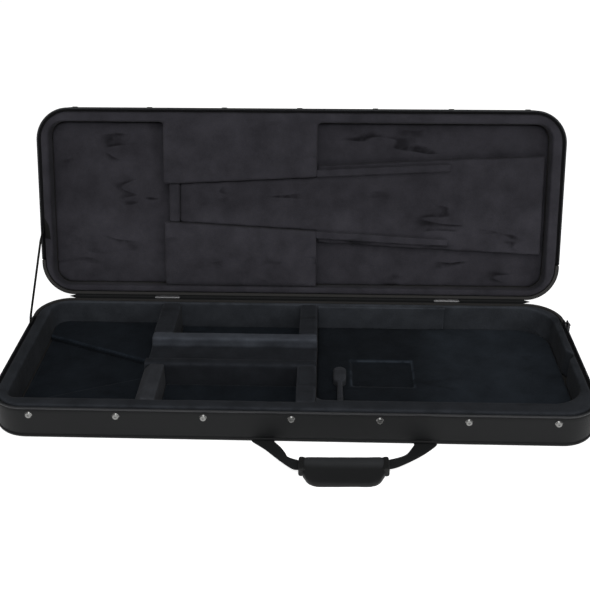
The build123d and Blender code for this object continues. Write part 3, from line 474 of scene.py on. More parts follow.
# %% Helpers that make a piece
def link_new(name, data):
    """A new object in the scene."""
    made = bpy.data.objects.new(name, data)
    bpy.context.collection.objects.link(made)
    return made


def map_threads(bm, where):
    """Writes the thread map; where gives a face corner's place on the cloth, in metres."""
    threads_map = bm.loops.layers.uv.new("threads")
    for face in bm.faces:
        for corner in face.loops:
            corner[threads_map].uv = where(corner)


def finish_piece(bm, name, body, finish, stands_for, place=None):
    """Turns a bmesh into a piece that rides on a body."""
    if place is not None:
        bmesh.ops.transform(bm, matrix=place, verts=bm.verts)
    mesh = bpy.data.meshes.new(name)
    bm.to_mesh(mesh)
    bm.free()
    mesh.materials.append(finish)
    mesh.polygons.foreach_set("use_smooth", [True] * len(mesh.polygons))
    piece = link_new(name, mesh)
    if body is not None:
        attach(piece, body)
    if stands_for:
        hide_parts(*stands_for)
    return piece


def copy_of(node, place):
    """A merged copy of a frame piece's mesh, laid flat in its own half."""
    bm = bmesh.new()
    bm.from_mesh(nodes[node].data)
    bmesh.ops.remove_doubles(bm, verts=bm.verts, dist=0.00002)
    bmesh.ops.transform(bm, matrix=place.inverted(), verts=bm.verts)
    return bm


def voxel_skin(bm, size):
    """The same closed form as an even skin of small quads."""
    mesh = bpy.data.meshes.new("foam core")
    bm.to_mesh(mesh)
    bm.free()
    core = link_new("foam core", mesh)
    remesh = core.modifiers.new("skin", "REMESH")
    remesh.mode = "VOXEL"
    remesh.voxel_size = size
    skinned = bpy.data.meshes.new_from_object(core.evaluated_get(bpy.context.evaluated_depsgraph_get()))
    bpy.data.objects.remove(core)
    made = bmesh.new()
    made.from_mesh(skinned)
    return made


print("helpers for pieces ready")

# %% [markdown]
# ## Foam under plush
# Each block is foam with velour glued over it: square cut, but with soft edges and no face
# quite flat. So the block's own solid gets a skin of small quads, smoothing relaxes its
# corners, and a slow noise moves it in and out by a millimetre. Blocks that meet the rim
# without a gap are first stretched a little into it, so that no groove shows.

# %% Helpers that shape a skin
SIDE_TOLERANCE = 0.0004


def stretch_side(bm, side, amount):
    """Moves one side of a block outwards; side is such as '+y'."""
    axis = "xyz".index(side[1])
    sign = 1 if side[0] == "+" else -1
    limit = max(sign * v.co[axis] for v in bm.verts)
    moved = [v for v in bm.verts if sign * v.co[axis] > limit - SIDE_TOLERANCE]
    shift = Vector((0, 0, 0))
    shift[axis] = sign * amount
    bmesh.ops.translate(bm, vec=shift, verts=moved)


def relax_and_ripple(bm, rounds, ripple, seed):
    """Rounds the corners, then moves the skin in and out a little."""
    for _ in range(rounds):
        bmesh.ops.smooth_vert(
            bm, verts=bm.verts, factor=0.5, use_axis_x=True, use_axis_y=True, use_axis_z=True)
    bm.normal_update()
    drift = Vector((seed * 3.7, seed * 1.3, seed * 2.1))
    for v in bm.verts:
        broad = noise.noise(v.co * 16 + drift)
        tight = noise.noise(v.co * 55 + drift)
        v.co += v.normal * ripple * (0.65 * broad + 0.35 * tight)


print("helpers for skins ready")

# %% [markdown]
# ## Painted highlights on edges
# A highlight is painted into the velour's colour along its edges. How far a vertex stands above its
# neighbours says how sharp the turn is, and the mesh keeps that for the finish, which paints the vertex
# lighter. The underside of a thin floor pad is held flat.

# %% Helper for plush-covered blocks
FLAT_SWELL = 0.06
EDGE_SWELL = 0.14
UNDERSIDE_RISE = 0.0002


def mark_edges(bm):
    """Says how much painted highlight each vertex gets: most where the skin turns over an edge."""
    painted_highlight = bm.verts.layers.float.new("painted_highlight")
    bm.normal_update()
    for v in bm.verts:
        swell = sum(v.normal.dot(v.co - e.other_vert(v).co) / e.calc_length() for e in v.link_edges)
        v[painted_highlight] = min(1.0, max(0.0, (swell / len(v.link_edges) - FLAT_SWELL) / EDGE_SWELL))


def plush_block(node, body, finish, size=0.003, rounds=3, ripple=0.0007, stretch=(), joined=(), thin=False):
    """A foam block of the frame, dressed in plush; joined blocks share its skin."""
    place = PLACES[body]
    bm = copy_of(node, place)
    lowest = min(v.co.z for v in bm.verts)
    for side, amount in stretch:
        stretch_side(bm, side, amount)
    for other, side, amount in joined:
        extra = copy_of(other, place)
        lowest = min(lowest, min(v.co.z for v in extra.verts))
        stretch_side(extra, side, amount)
        held = bpy.data.meshes.new("joined")
        extra.to_mesh(held)
        extra.free()
        bm.from_mesh(held)
    bm = voxel_skin(bm, size)
    relax_and_ripple(bm, rounds, ripple, len(node) + sum(map(ord, node)) % 17)
    if thin:
        for v in bm.verts:
            v.co.z = max(v.co.z, lowest + UNDERSIDE_RISE)
    mark_edges(bm)
    stands_for = [node] + [other for other, _, _ in joined]
    piece = finish_piece(bm, f"plush_{node}", body, finish, stands_for, place)
    return piece


print("helpers for plush ready")

# %% [markdown]
# ## Plush in the base
# The rim is one frame of foam with the notch for a strap button. Inside it lie the neck rest, the four end
# walls of the boxes, the pads for the headstock and the floors. The body's floor has a shallow recess, whose
# edge gets a painted highlight laid out from the recess's own outline.

# %% Rim, neck rest and box walls
WALL_TUCK = 0.004
REST_TUCK = 0.003
WALL_DROP = -0.0003
WALL_FINISH = {"left_divider_front": lit_plush}
plush_block("base_rim_foam", "base", lit_wall_plush, size=0.0032)
plush_block("neck_rest", "base", rest_plush_painted_sheen, ripple=0.0009)
for side, rim_side, rest_side in (("back", "+y", "-y"), ("front", "-y", "+y")):
    tucks = [(rim_side, WALL_TUCK), (rest_side, REST_TUCK), ("+z", WALL_DROP)]
    for end in ("left", "right"):
        part = f"{end}_divider_{side}"
        plush_block(part, "base", WALL_FINISH.get(part, base_plush), stretch=tucks)
print("rim, neck rest and box walls done")

# %% Floors and pads
FLOOR_THICKENING = 0.006
for part in ("headstock_pad_back", "headstock_pad_front"):
    plush_block(part, "base", shaded_floor_plush, rounds=2)
plush_block("headstock_floor_pad", "base", shaded_floor_plush, size=0.0032, rounds=1,
            stretch=[("-z", FLOOR_THICKENING)], thin=True)
for part in ("rear_box_floor", "front_box_floor"):
    plush_block(part, "base", shaded_floor_plush)
body_floor = plush_block("body_floor_pad", "base", body_plush_painted_light_and_shade, rounds=1, ripple=0.001,
                         stretch=[("-z", 0.001)], thin=True,
                         joined=[("body_floor_base", "-z", FLOOR_THICKENING)])
plush_block("body_rear_pad", "base", lit_wall_plush, size=0.0022, rounds=2, ripple=0.0011)
plush_block("horn_pad", "base", lit_plush, size=0.0025, ripple=0.0010)
print("body floor:", len(body_floor.data.vertices), "vertices")

# %% Painted highlight along the edge of the body floor's recess
RECESS_LOW = Vector((0.107, -0.037))
RECESS_HIGH = Vector((0.221, 0.047))
HIGHLIGHT_INSET = 0.0012
HIGHLIGHT_WIDTH = 0.0032
ABOVE_RECESS = 0.011
# Painted highlight along the recess's edge, in the same attribute as the other edges.
for held, v in zip(body_floor.data.attributes["painted_highlight"].data, body_floor.data.vertices):
    past_low = v.co.xy - RECESS_LOW
    past_high = RECESS_HIGH - v.co.xy
    inside = min(*past_low, *past_high)
    if v.co.z > ABOVE_RECESS:
        held.value = max(0.0, 1 - abs(inside + HIGHLIGHT_INSET) / HIGHLIGHT_WIDTH)
recess_size = RECESS_HIGH - RECESS_LOW
print("recess", [round(length * 1000) for length in recess_size], "mm")

# %% [markdown]
# ## Plush in the lid
# The lid's rim and its front pad show no seam between them, so they share one skin. The
# lining covers the top inside, the neck pad lies on it with a strip at its end, and two thin
# ridges frame the channel.

# %% Lid's rim, lining and neck pad
plush_block("lid_rim_foam", "lid", lid_rim_plush, size=0.0032, joined=[("lid_front_pad", "+y", 0.006)])
plush_block("lid_lining", "lid", lid_plush, size=0.0036, rounds=2, ripple=0.0012)
plush_block("lid_neck_end_strip", "lid", lid_plush, size=0.0028, rounds=2)
plush_block("lid_neck_pad", "lid", lid_plush, size=0.0032, rounds=2, ripple=0.0010)
for part in ("lid_front_ridge", "lid_rear_ridge"):
    plush_block(part, "lid", lid_plush, size=0.0024, rounds=1, ripple=0.0005, stretch=[("-x", 0.002)])
print("lid plush done")

# %% [markdown]
# ## The lid's rear pad has a border
# The velour on this pad ends a finger's width short of the pocket beside it, and at the hinge
# side a narrow strip shows too. The border lies two millimetres lower, so the same skin is
# pressed down there.

# %% Rear pad of the lid
VELOUR_END_X = 0.017
VELOUR_END_Y = 0.0265 - DEPTH / 2
BORDER_DROP = 0.0022
PAD_FACE = 0.030
bm = voxel_skin(copy_of("lid_rear_pad", LID_PLACE), 0.003)
for v in bm.verts:
    border = min(VELOUR_END_X - v.co.x, v.co.y - VELOUR_END_Y)
    if v.co.z > PAD_FACE and border < 0:
        v.co.z -= BORDER_DROP
relax_and_ripple(bm, 2, 0.0007, 4)
rear_pad = finish_piece(bm, "plush_lid_rear_pad", "lid", lid_plush, ["lid_rear_pad"], LID_PLACE)
print("rear pad:", len(rear_pad.data.vertices), "vertices")

# %% [markdown]
# ## Bands that run round the case
# Piping, side cover, zipper tape and coil all follow the case's outline. One loop is drawn: a
# rectangle whose four corners are bevelled round. It is then extruded from one corner of a
# cross-section to the next, which gives a closed band with a thread map: the first direction
# runs round the case and the second across the band, both in metres.


# %% Helpers for the outline
def outline_at(co, inset):
    """The point of the outline at that inset, level with co."""
    core = Vector((max(-CORE_X, min(CORE_X, co.x)), max(-CORE_Y, min(CORE_Y, co.y))))
    away = (co.xy - core).normalized()
    return core + away * (CORNER - inset)


def start_outline(bm):
    """Draws the case's outline as one closed loop and measures the way round it."""
    run = bm.verts.layers.float.new("run")
    bm.verts.layers.float.new("rise")
    corners = bmesh.ops.create_grid(bm, x_segments=1, y_segments=1, size=0.5)["verts"]
    bmesh.ops.scale(bm, vec=(LENGTH, DEPTH, 1), verts=corners)
    bmesh.ops.bevel(bm, geom=corners, offset=CORNER, offset_type="OFFSET", segments=18, profile=0.5,
                    affect="VERTICES", material=-1)
    bmesh.ops.delete(bm, geom=bm.faces[:], context="FACES_ONLY")
    for low_length, cuts in ((0.5, 63), (0.1, 17)):
        long_edges = [e for e in bm.edges if e.calc_length() > low_length]
        bmesh.ops.subdivide_edges(bm, edges=long_edges, cuts=cuts)
    start = min(bm.verts, key=lambda v: (round(v.co.y, 4), abs(v.co.x)))
    here, way, last = start, 0.0, None
    while True:
        here[run] = way
        step = next(e for e in here.link_edges if e is not last)
        way += step.calc_length()
        here, last = step.other_vert(here), step
        if here is start:
            break
    return bm.edges[:], way


def sweep(bm, loop, corners):
    """Extrudes the outline through the corners of a cross-section and closes it."""
    rise = bm.verts.layers.float["rise"]
    first, travelled, before = loop, 0.0, corners[0]
    for v in {v for e in loop for v in e.verts}:
        v.co.xy = outline_at(v.co, before[0])
        v.co.z = before[1]
    for corner in corners[1:]:
        made = bmesh.ops.extrude_edge_only(bm, edges=loop)["geom"]
        fresh = {v for v in made if isinstance(v, bmesh.types.BMVert)}
        travelled += math.dist(corner, before)
        for v in fresh:
            v.co.xy = outline_at(v.co, corner[0])
            v.co.z = corner[1]
            v[rise] = travelled
        loop = [e for e in made if isinstance(e, bmesh.types.BMEdge) and set(e.verts) <= fresh]
        before = corner
    bmesh.ops.bridge_loops(bm, edges=first + loop)


def map_band(bm, way):
    """Lays the thread map by the way round and the way across, without a jump at the start."""
    run = bm.verts.layers.float["run"]
    rise = bm.verts.layers.float["rise"]

    def where(corner):
        runs = [other.vert[run] for other in corner.face.loops]
        wraps = max(runs) - min(runs) > way / 2 and corner.vert[run] < way / 2
        return corner.vert[run] + (way if wraps else 0.0), corner.vert[rise]

    map_threads(bm, where)


print("helpers for the outline ready")

# %% [markdown]
# ## From cross-section to band
# A cross-section is a list of corners, each with its inset from the outline and its height.
# Some bands run only along the zipper or only behind it, so a band may be cut straight across
# and closed there. Nylon over board is never quite flat, hence the ripple.


# %% Helpers for bands
def cut_across(bm, y, keep_below):
    """Cuts a band straight across and closes its cut ends."""
    bmesh.ops.bisect_plane(bm, geom=bm.verts[:] + bm.edges[:] + bm.faces[:], plane_co=(0, y, 0),
                           plane_no=(0, 1 if keep_below else -1, 0), clear_outer=True)
    bmesh.ops.holes_fill(bm, edges=[e for e in bm.edges if e.is_boundary], sides=0)


def arc(middle, radius, start, end, steps):
    """Corners of a cross-section along an arc, angles in degrees."""
    angles = [math.radians(start + (end - start) * i / steps) for i in range(steps + 1)]
    return [(middle[0] + radius * math.cos(a), middle[1] + radius * math.sin(a)) for a in angles]


def band(name, body, corners, finish, stands_for, cut=None, seed=0.0, ripple=0.0):
    """A band round the base or the lid from its cross-section: (inset, height) in metres."""
    bm = bmesh.new()
    loop, way = start_outline(bm)
    sweep(bm, loop, corners)
    map_band(bm, way)
    if cut is not None:
        cut_across(bm, cut[0], cut[1])
    bmesh.ops.recalc_face_normals(bm, faces=bm.faces)
    if ripple:
        bm.normal_update()
        for v in bm.verts:
            v.co += v.normal * ripple * noise.noise(v.co * 11 + Vector((seed, 0, 0)))
    return finish_piece(bm, name, body, finish, stands_for, PLACES[body])


print("helpers for bands ready")

# %% [markdown]
# ## Piping, side cover and tape
# The piping is a soft cord sewn into the seam, so its cross-section is most of a circle. The
# side cover is one band of nylon. At the front and the sides it stops under the zipper, and
# behind the zipper's ends it reaches the seam. The tape lies flat on the tray's edge and turns
# up behind the coil.

# %% Bands of both halves
HEIGHTS = {"base": 0.066, "lid": LID_HEIGHT}
HINGE_SIDE = {"base": 1, "lid": -1}
PANEL_SIDE = {"base": "bottom", "lid": "top"}
ZIP_END = 0.118
ZIP_DEPTH = 0.0076
COVER_INNER = 0.0019
COVER_START = 0.0094
TAPE_INNER = 0.0068
for body, height in HEIGHTS.items():
    below = body == "base"
    roll = [(0.0018, 0.0017)] + arc((0.0020, 0.0050), 0.0034, 250, 110, 12) + [(0.0018, 0.0085)]
    band(f"piping_{body}", body, roll, piping_cloth, [f"{body}_{PANEL_SIDE[body]}_piping"])
    zip_floor = height - ZIP_DEPTH
    cover_rise = zip_floor - 0.0010 - COVER_START
    wall = [(COVER_INNER, 0.0080), (0.0006, 0.0082), (0.0001, COVER_START)]
    wall += [(0.0, COVER_START + cover_rise * i / 8) for i in range(1, 9)]
    wall += [(0.0003, zip_floor - 0.0002), (COVER_INNER, zip_floor - 0.0001)]
    band(f"cover_{body}", body, wall, nylon, [f"{body}_side_cover"], seed=height * 90, ripple=0.0004)
    behind = [(COVER_INNER, zip_floor - 0.0010), (0.0, zip_floor - 0.0010), (0.0, height - 0.0014),
              (0.0006, height - 0.0004), (COVER_INNER, height - 0.0003)]
    band(f"cover_back_{body}", body, behind, nylon, [f"{body}_side_cover"],
         cut=(HINGE_SIDE[body] * ZIP_END, not below))
    tape = [(TAPE_INNER, zip_floor), (0.0001, zip_floor), (0.0001, zip_floor + 0.0018),
            (0.0010, zip_floor + 0.0018), (0.0012, zip_floor + 0.0008), (TAPE_INNER, zip_floor + 0.0008)]
    band(f"tape_{body}", body, tape, tape_cloth, [f"{body}_zipper_tape"],
         cut=(HINGE_SIDE[body] * (ZIP_END - 0.0003), below))
    print(f"{body}: piping, side cover and tape, {height * 1000:.0f} mm high")

# %% [markdown]
# ## The cloth behind the hinges
# Between the two ends of the zipper base and lid are joined by one strip of nylon, which closes
# the gap over the hinges. It is drawn between the two rims, bulges out a little, narrows to
# rounded ends, and bends with the lid.

# %% Back strip
STRIP_HALF = CORE_X + 0.010
STRIP_WIDTH = 0.01
END_ROUNDING = 0.022
SEAM_INSET = 0.0012
SEAM_DROP = 0.0008
STRIP_BULGE = Vector((0, 0.0022, -0.0010))
bm = bmesh.new()
bmesh.ops.create_grid(bm, x_segments=80, y_segments=8, size=0.5)
map_threads(bm, lambda corner: (corner.vert.co.x * 2 * CORE_X, corner.vert.co.y * STRIP_WIDTH))
low_edge = Vector((0, DEPTH / 2 - SEAM_INSET, HEIGHTS["base"] - SEAM_DROP))
high_edge = LID_PLACE @ Vector((0, SEAM_INSET - DEPTH / 2, LID_HEIGHT - SEAM_DROP))
for v in bm.verts:
    x = v.co.x * 2 * STRIP_HALF
    to_end = STRIP_HALF + 0.0001 - abs(x)
    t = 0.5 + v.co.y * max(0.08, min(1.0, math.sqrt(to_end / END_ROUNDING)))
    v.co = low_edge.lerp(high_edge, t) + Vector((x, 0, 0)) + STRIP_BULGE * math.sin(math.pi * t)
bmesh.ops.solidify(bm, geom=bm.faces[:], thickness=0.0006)
bmesh.ops.recalc_face_normals(bm, faces=bm.faces)
back_strip = finish_piece(bm, "back_strip", None, nylon, [])
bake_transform(back_strip, "base", "lid", low_edge, high_edge)
print("back strip", round(STRIP_HALF * 2000), "mm long")

# %% [markdown]
# ## The zipper's coil
# A coil zipper is a nylon thread wound into small loops, each a little bead from outside. One
# bead is repeated in a straight row as long as the zipper, and the row is bent along the
# outline. A slim core closes the gaps between the beads.

# %% Helpers for the coils
BEAD_STEP = 0.0021
BEAD_END = ZIP_END - 0.0025
BEAD_INSET = 0.00095
BEAD_RADII = (0.00105, 0.0018, 0.0022)


def coil_line(flip):
    """The zipper's way along one side, the front and the other side, as a curve."""
    inner = CORNER - BEAD_INSET
    points = [(-CORE_X - inner, BEAD_END)]
    points += arc((-CORE_X, -CORE_Y), inner, 180, 270, 24) + arc((CORE_X, -CORE_Y), inner, 270, 360, 24)
    points.append((CORE_X + inner, BEAD_END))
    line = bpy.data.curves.new("coil line", "CURVE")
    line.dimensions = "3D"
    spline = line.splines.new("POLY")
    spline.points.add(len(points) - 1)
    for point, (x, y) in zip(spline.points, points):
        point.co = (x, y * flip, 0, 1)
    return link_new("coil line", line), sum(math.dist(a, b) for a, b in zip(points, points[1:]))


def bead_row(line, way, count):
    """A straight row of beads, bent along the line; returns it as a bmesh."""
    bm = bmesh.new()
    bmesh.ops.create_uvsphere(bm, u_segments=8, v_segments=6, radius=1.0)
    bmesh.ops.scale(bm, vec=BEAD_RADII, verts=bm.verts)
    bead_mesh = bpy.data.meshes.new("bead")
    bm.to_mesh(bead_mesh)
    bm.free()
    bead = link_new("bead", bead_mesh)
    row = bead.modifiers.new("row", "ARRAY")
    row.count = count
    row.use_relative_offset = False
    row.use_constant_offset = True
    row.constant_offset_displace = (way / count, 0, 0)
    bend = bead.modifiers.new("bend", "CURVE")
    bend.object = line
    bent = bpy.data.meshes.new_from_object(bead.evaluated_get(bpy.context.evaluated_depsgraph_get()))
    bpy.data.objects.remove(bead)
    made = bmesh.new()
    made.from_mesh(bent)
    return made


print("helpers for the coils ready")

# %% Coils
COIL_DROP = 0.0036
CORE_HALF = 0.0017
for body, height in HEIGHTS.items():
    flip = HINGE_SIDE[body]
    line, way = coil_line(flip)
    beads = int(way / BEAD_STEP)
    bm = bead_row(line, way, beads)
    bpy.data.objects.remove(line)
    middle = height - COIL_DROP
    bmesh.ops.translate(bm, vec=(0, 0, middle), verts=bm.verts)
    stands_for = [f"{body}_zipper_coil"]
    finish_piece(bm, f"coil_{body}", body, coil_plastic, stands_for, PLACES[body])
    core = [(0.0024, middle - CORE_HALF), (-0.0003, middle - CORE_HALF),
            (-0.0003, middle + CORE_HALF), (0.0024, middle + CORE_HALF)]
    band(f"coil_core_{body}", body, core, coil_plastic, stands_for,
         cut=(flip * BEAD_END, body == "base"))
    print(f"{body}: {beads} beads over {way:.3f} m")

# %% [markdown]
# ## The flat panels
# Nylon is laid over the bottom of the base and the top of the lid. The frame's panels have the
# right outline and the cut-outs for the straps, so each is copied, its triangles are joined
# into flat faces, its rims are eased, and a thread map is laid from above.


# %% Panels
RIM_EASING = 0.0004
LEVEL_TOLERANCE = 0.0002


def dress_panel(node, body, name):
    """A flat panel with eased rims and a thread map."""
    place = PLACES[body]
    bm = copy_of(node, place)
    bmesh.ops.dissolve_limit(bm, angle_limit=math.radians(2), verts=bm.verts, edges=bm.edges)
    rims = [e for e in bm.edges if e.is_manifold and e.calc_face_angle(0) > math.radians(60)
            and abs(e.verts[0].co.z - e.verts[1].co.z) < LEVEL_TOLERANCE]
    bmesh.ops.bevel(bm, geom=rims, offset=RIM_EASING, offset_type="OFFSET", segments=2, profile=0.5,
                    affect="EDGES", material=-1)
    bmesh.ops.triangulate(bm, faces=[f for f in bm.faces if len(f.verts) > 4])
    map_threads(bm, lambda corner: tuple(corner.vert.co.xy))
    piece = finish_piece(bm, name, body, nylon, [node], place)
    piece.data.polygons.foreach_set("use_smooth", [False] * len(piece.data.polygons))
    print(name, "has", len(piece.data.polygons), "faces")


dress_panel("base_bottom_panel", "base", "panel_base")
dress_panel("lid_top_panel", "lid", "panel_lid")

# %% [markdown]
# ## Webbing
# Both straps of the handle come from under the base, rise a little from the floor, turn towards
# each other and go into the padded grip. A strap is a long grid: each of its cross-lines runs
# between two edges, and each edge is a smooth spline through a few points.


# %% Helpers for flat straps
LENGTH_STEPS = 40


def between(points, t):
    """A point on the smooth spline through the given points; t runs from 0 to 1."""
    span = t * (len(points) - 1)
    i = min(int(span), len(points) - 2)
    u = span - i
    p0, p1, p2, p3 = (Vector(points[max(0, min(len(points) - 1, i + k))]) for k in (-1, 0, 1, 2))
    return 0.5 * (2 * p1 + (p2 - p0) * u + (2 * p0 - 5 * p1 + 4 * p2 - p3) * u * u
                  + (3 * p1 - p0 - 3 * p2 + p3) * u * u * u)


def strap_mesh(left_edge, right_edge, steps, lanes, thickness):
    """A flat strap between two edge lines, in metres, with a thread map; also its length."""
    bm = bmesh.new()
    bmesh.ops.create_grid(bm, x_segments=lanes, y_segments=steps, size=0.5)
    stops = [between(left_edge, i / LENGTH_STEPS) for i in range(LENGTH_STEPS + 1)]
    length = sum((after - before).length for before, after in zip(stops, stops[1:]))
    width = (Vector(left_edge[0]) - Vector(right_edge[0])).length
    flat = {v: (v.co.x + 0.5, v.co.y + 0.5) for v in bm.verts}
    map_threads(bm, lambda corner: (flat[corner.vert][0] * width, flat[corner.vert][1] * length))
    for v, (across, along) in flat.items():
        v.co = between(left_edge, along).lerp(between(right_edge, along), across)
    bm.normal_update()
    bmesh.ops.solidify(bm, geom=bm.faces[:], thickness=thickness)
    bmesh.ops.recalc_face_normals(bm, faces=bm.faces)
    return bm, length


print("helpers for straps ready")

# %% Straps of the handle
LEFT_OUTER = [
    (-0.0670, -0.1820, 0.0016), (-0.0670, -0.1910, 0.0018), (-0.0437, -0.2141, 0.0035),
    (-0.0167, -0.2474, 0.0068), (0.0036, -0.2690, 0.0092), (0.0139, -0.2723, 0.0098),
    (0.0240, -0.2720, 0.0100)]
LEFT_INNER = [
    (-0.0290, -0.1820, 0.0016), (-0.0290, -0.1910, 0.0020), (-0.0180, -0.2080, 0.0045),
    (-0.0085, -0.2280, 0.0080), (-0.0025, -0.2420, 0.0105), (0.0135, -0.2470, 0.0085),
    (0.0240, -0.2490, 0.0080)]
RIGHT_OUTER = [
    (0.2475, -0.1820, 0.0016), (0.2475, -0.1910, 0.0018), (0.2300, -0.2120, 0.0035),
    (0.2101, -0.2321, 0.0058), (0.1808, -0.2560, 0.0085), (0.1642, -0.2640, 0.0095),
    (0.1530, -0.2660, 0.0098)]
RIGHT_INNER = [
    (0.2095, -0.1820, 0.0016), (0.2095, -0.1910, 0.0020), (0.2020, -0.2080, 0.0045),
    (0.1942, -0.2240, 0.0080), (0.1830, -0.2340, 0.0100), (0.1650, -0.2400, 0.0090),
    (0.1530, -0.2430, 0.0085)]
FOLD_START, FOLD_END = -0.184, -0.196
for side, outer, inner in (("left", LEFT_OUTER, LEFT_INNER), ("right", RIGHT_OUTER, RIGHT_INNER)):
    bm, length = strap_mesh(outer, inner, 48, 10, 0.0014)
    strap = finish_piece(bm, f"strap_{side}", None, webbing_cloth, ["handle_webbing"])
    edge_x = outer[0][0]
    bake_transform(strap, "base", "handle", (edge_x, FOLD_START, 0.0015), (edge_x, FOLD_END, 0.0015))
    print(f"{side} strap: {length * 1000:.0f} mm along its outer edge")

# %% [markdown]
# ## Strap ends
# Each strap goes on under the base, where it is sewn to the bottom. That end does not move
# with the handle, so it rides on the base.

# %% Strap ends under the base
STRAP_HALF = 0.019
TAIL_MIDDLES = {"left": -0.048, "right": 0.2285}
TAIL_STOPS = (-0.1905, -0.175, -0.160, -0.1468)
for side, centre in TAIL_MIDDLES.items():
    edges = [[(x, y, 0.0015) for y in TAIL_STOPS] for x in (centre - STRAP_HALF, centre + STRAP_HALF)]
    bm, length = strap_mesh(*edges, 20, 10, 0.0013)
    finish_piece(bm, f"strap_end_{side}", "base", webbing_cloth, ["handle_tails"])
    print(f"{side} strap end: {length * 1000:.0f} mm")

# %% [markdown]
# ## The padded grip
# A sheet of padded nylon is wrapped round the webbing and closed on itself. It is thickest at
# the fold, near the case, and thins to a flap with round corners. Both ends are bound with
# folded tape that stands a little proud.

# %% Grip
GRIP_YAW = 0.026
GRIP_MIDDLE = 0.0885
END_TUCK = 0.003
FLAP_SHARE = 0.42
FOLD_SPREAD = 1.35


def turn_and_map(bm):
    """Turns a grip piece a little from above and lays its thread map."""
    for v in bm.verts:
        v.co.y += GRIP_YAW * (v.co.x - GRIP_MIDDLE)
    map_threads(bm, lambda corner: (corner.vert.co.x, corner.vert.co.y + corner.vert.co.z))


low, high = (Vector(p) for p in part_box("handle_grip"))
bm = copy_of("handle_grip", BASE_PLACE)
stretch_side(bm, "-x", END_TUCK)
stretch_side(bm, "+x", END_TUCK)
bm = voxel_skin(bm, 0.0026)
for v in bm.verts:
    reach = (v.co.y - low.y) / (high.y - low.y)
    thickness = FLAP_SHARE + (1 - FLAP_SHARE) * min(1.0, max(0.0, reach * FOLD_SPREAD))
    v.co.z = low.z + (v.co.z - low.z) * thickness
relax_and_ripple(bm, 4, 0.0008, 3)
turn_and_map(bm)
grip = finish_piece(bm, "grip_pad", "handle", grip_cloth_painted_light, ["handle_grip"])
print("grip:", len(grip.data.vertices), "vertices")

# %% Bindings of the grip
for side, inward, seed in (("left", "+x", 5), ("right", "-x", 9)):
    node = f"grip_binding_{side}"
    bm = copy_of(node, BASE_PLACE)
    stretch_side(bm, inward, END_TUCK)
    bm = voxel_skin(bm, 0.0014)
    relax_and_ripple(bm, 3, 0.0007, seed)
    turn_and_map(bm)
    binding = finish_piece(bm, f"grip_end_{side}", "handle", binding_cloth, [node])
    print(f"{side} binding: {len(binding.data.vertices)} vertices")

# %% [markdown]
# ## The ribbon stay
# A ribbon runs from the base's rim to the lid's rim and stops the lid, whose weight pulls it
# straight. Between its fixed ends it is turned by a third of a right angle, so the photograph
# shows its broad side. It bends between base and lid, so it folds away as the lid closes.

# %% Stay
STAY_HALF = 0.0095
STAY_TURN = math.radians(31)
STAY_STOPS = 32
HINGE_GAP = 0.00425
STAY_ALONG_LID = 0.136
low, high = (Vector(p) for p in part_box("lid_stay"))
stay_x = (low.x + high.x) / 2
foot = Vector((stay_x, 0.080, 0.062))
top = PIN + LID_ALONG * (HINGE_GAP + STAY_ALONG_LID) - LID_FACING * 0.004
top.x = stay_x
run_way = (top - foot).normalized()
across_way = Vector((0, -run_way.z, run_way.y))
near_edge, far_edge = [], []
for i in range(STAY_STOPS + 1):
    t = i / STAY_STOPS
    turn = STAY_TURN * min(1.0, 12 * math.sin(math.pi * t))
    half = STAY_HALF * (across_way * math.cos(turn) + Vector((1, 0, 0)) * math.sin(turn))
    outward = 0.0010 + 0.0030 * min(1.0, 3 * math.sin(math.pi * t))
    point = foot.lerp(top, t) - Vector((outward, 0, 0))
    near_edge.append(point - half)
    far_edge.append(point + half)
bm, stay_length = strap_mesh(near_edge, far_edge, 60, 6, 0.0005)
stay = finish_piece(bm, "stay_ribbon", None, ribbon_cloth, ["lid_stay"])
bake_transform(stay, "base", "lid", foot, top)
print("stay", round(stay_length * 1000), "mm long")

# %% [markdown]
# ## The ribbon's end on the lid
# The ribbon's last centimetres lie flat on the lid's rim, cut at a slant. They do not bend, so
# they ride on the lid.

# %% Ribbon's end on the lid
v_mid = STAY_ALONG_LID - DEPTH / 2
tab_left = [
    (-0.5165, v_mid - 0.020, 0.0420), (-0.5160, v_mid, 0.0421), (-0.5165, v_mid + 0.0215, 0.0420)]
tab_right = [
    (-0.5050, v_mid - 0.0225, 0.0420), (-0.5065, v_mid - 0.004, 0.0421), (-0.5085, v_mid + 0.008, 0.0420)]
bm, tab_length = strap_mesh(tab_left, tab_right, 20, 6, 0.0005)
finish_piece(bm, "stay_tab", "lid", ribbon_cloth, ["stay_lid_tab"], LID_PLACE)
print("end on the lid", round(tab_length * 1000), "mm long")

# %% [markdown]
# ## Floor
# The case was photographed on white. The floor is pale paper and a little luminous, so that it
# stays white right up to the case.

# %% Floor
bm = bmesh.new()
bmesh.ops.create_grid(bm, x_segments=1, y_segments=1, size=6.0)
floor_mesh = bpy.data.meshes.new("floor")
bm.to_mesh(floor_mesh)
bm.free()
floor = link_new("floor", floor_mesh)
paper, _, paper_shader = new_finish("white paper", 0.9)
paper_shader.inputs["Base Color"].default_value = (0.85, 0.85, 0.85, 1)
paper_shader.inputs["Emission Color"].default_value = (1, 1, 1, 1)
paper_shader.inputs["Emission Strength"].default_value = 0.8
floor_mesh.materials.append(paper)
print("floor ready")

# %% [markdown]
# ## Light
# The light is soft, mostly from above and in front, with more from the right than from the
# left: three square lamps, and a dim white surrounding that fills the shadows.

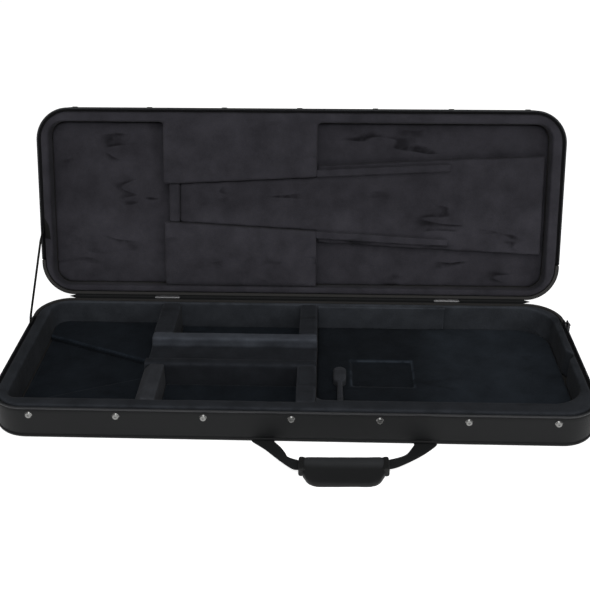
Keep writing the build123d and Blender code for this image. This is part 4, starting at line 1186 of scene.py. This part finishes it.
# %% Light
world = bpy.data.worlds.new("studio")
world.use_nodes = True
world.node_tree.nodes["Background"].inputs["Color"].default_value = (1, 1, 1, 1)
world.node_tree.nodes["Background"].inputs["Strength"].default_value = 0.28
bpy.context.scene.world = world
bpy.context.scene.view_settings.view_transform = "Standard"


def softbox(name, place, aim, size, power):
    """A large square lamp that points at a place."""
    lamp = bpy.data.lights.new(name, "AREA")
    lamp.size = size
    lamp.energy = power
    held = link_new(name, lamp)
    held.location = place
    held.rotation_euler = (Vector(aim) - Vector(place)).to_track_quat("-Z", "Y").to_euler()


softbox("overhead", (0.1, -1.7, 2.2), (0, 0.05, 0.1), 1.8, 30)
softbox("front right", (1.9, -1.8, 1.1), (0, 0, 0.1), 1.2, 14)
softbox("front left", (-1.9, -1.6, 1.0), (0, 0, 0.1), 1.0, 5)
print("lamps:", len(bpy.data.lights))

# %% [markdown]
# ## Camera
# The camera's place, angles and focal length were fitted to the outlines of base and lid in
# the photograph. Its axis lay about a pixel off the picture's centre, hence the shift.

# %% Camera
PITCH, YAW, ROLL = math.radians(29.19), math.radians(-2.07), math.radians(-0.26)
CAMERA_PLACE = (0.05084, -1.42388, 0.98200)
FOCAL_PIXELS = 908.74
PICTURE = 591
SENSOR = 36.0
forward = Vector((math.sin(YAW) * math.cos(PITCH), math.cos(YAW) * math.cos(PITCH), -math.sin(PITCH)))
level = Vector((math.cos(YAW), -math.sin(YAW), 0))
upward = level.cross(forward)
right = level * math.cos(ROLL) + upward * math.sin(ROLL)
upward = upward * math.cos(ROLL) - level * math.sin(ROLL)
camera_data = bpy.data.cameras.new("camera")
camera_data.sensor_width = SENSOR
camera_data.lens = FOCAL_PIXELS / PICTURE * SENSOR
camera_data.shift_x = (295.0 - 294.31) / PICTURE
camera_data.shift_y = (294.05 - 295.5) / PICTURE
camera = link_new("camera", camera_data)
camera.matrix_world = Matrix((*zip(right, upward, -forward, CAMERA_PLACE), (0, 0, 0, 1)))
bpy.context.scene.camera = camera
print("lens", round(camera_data.lens, 1), "mm")
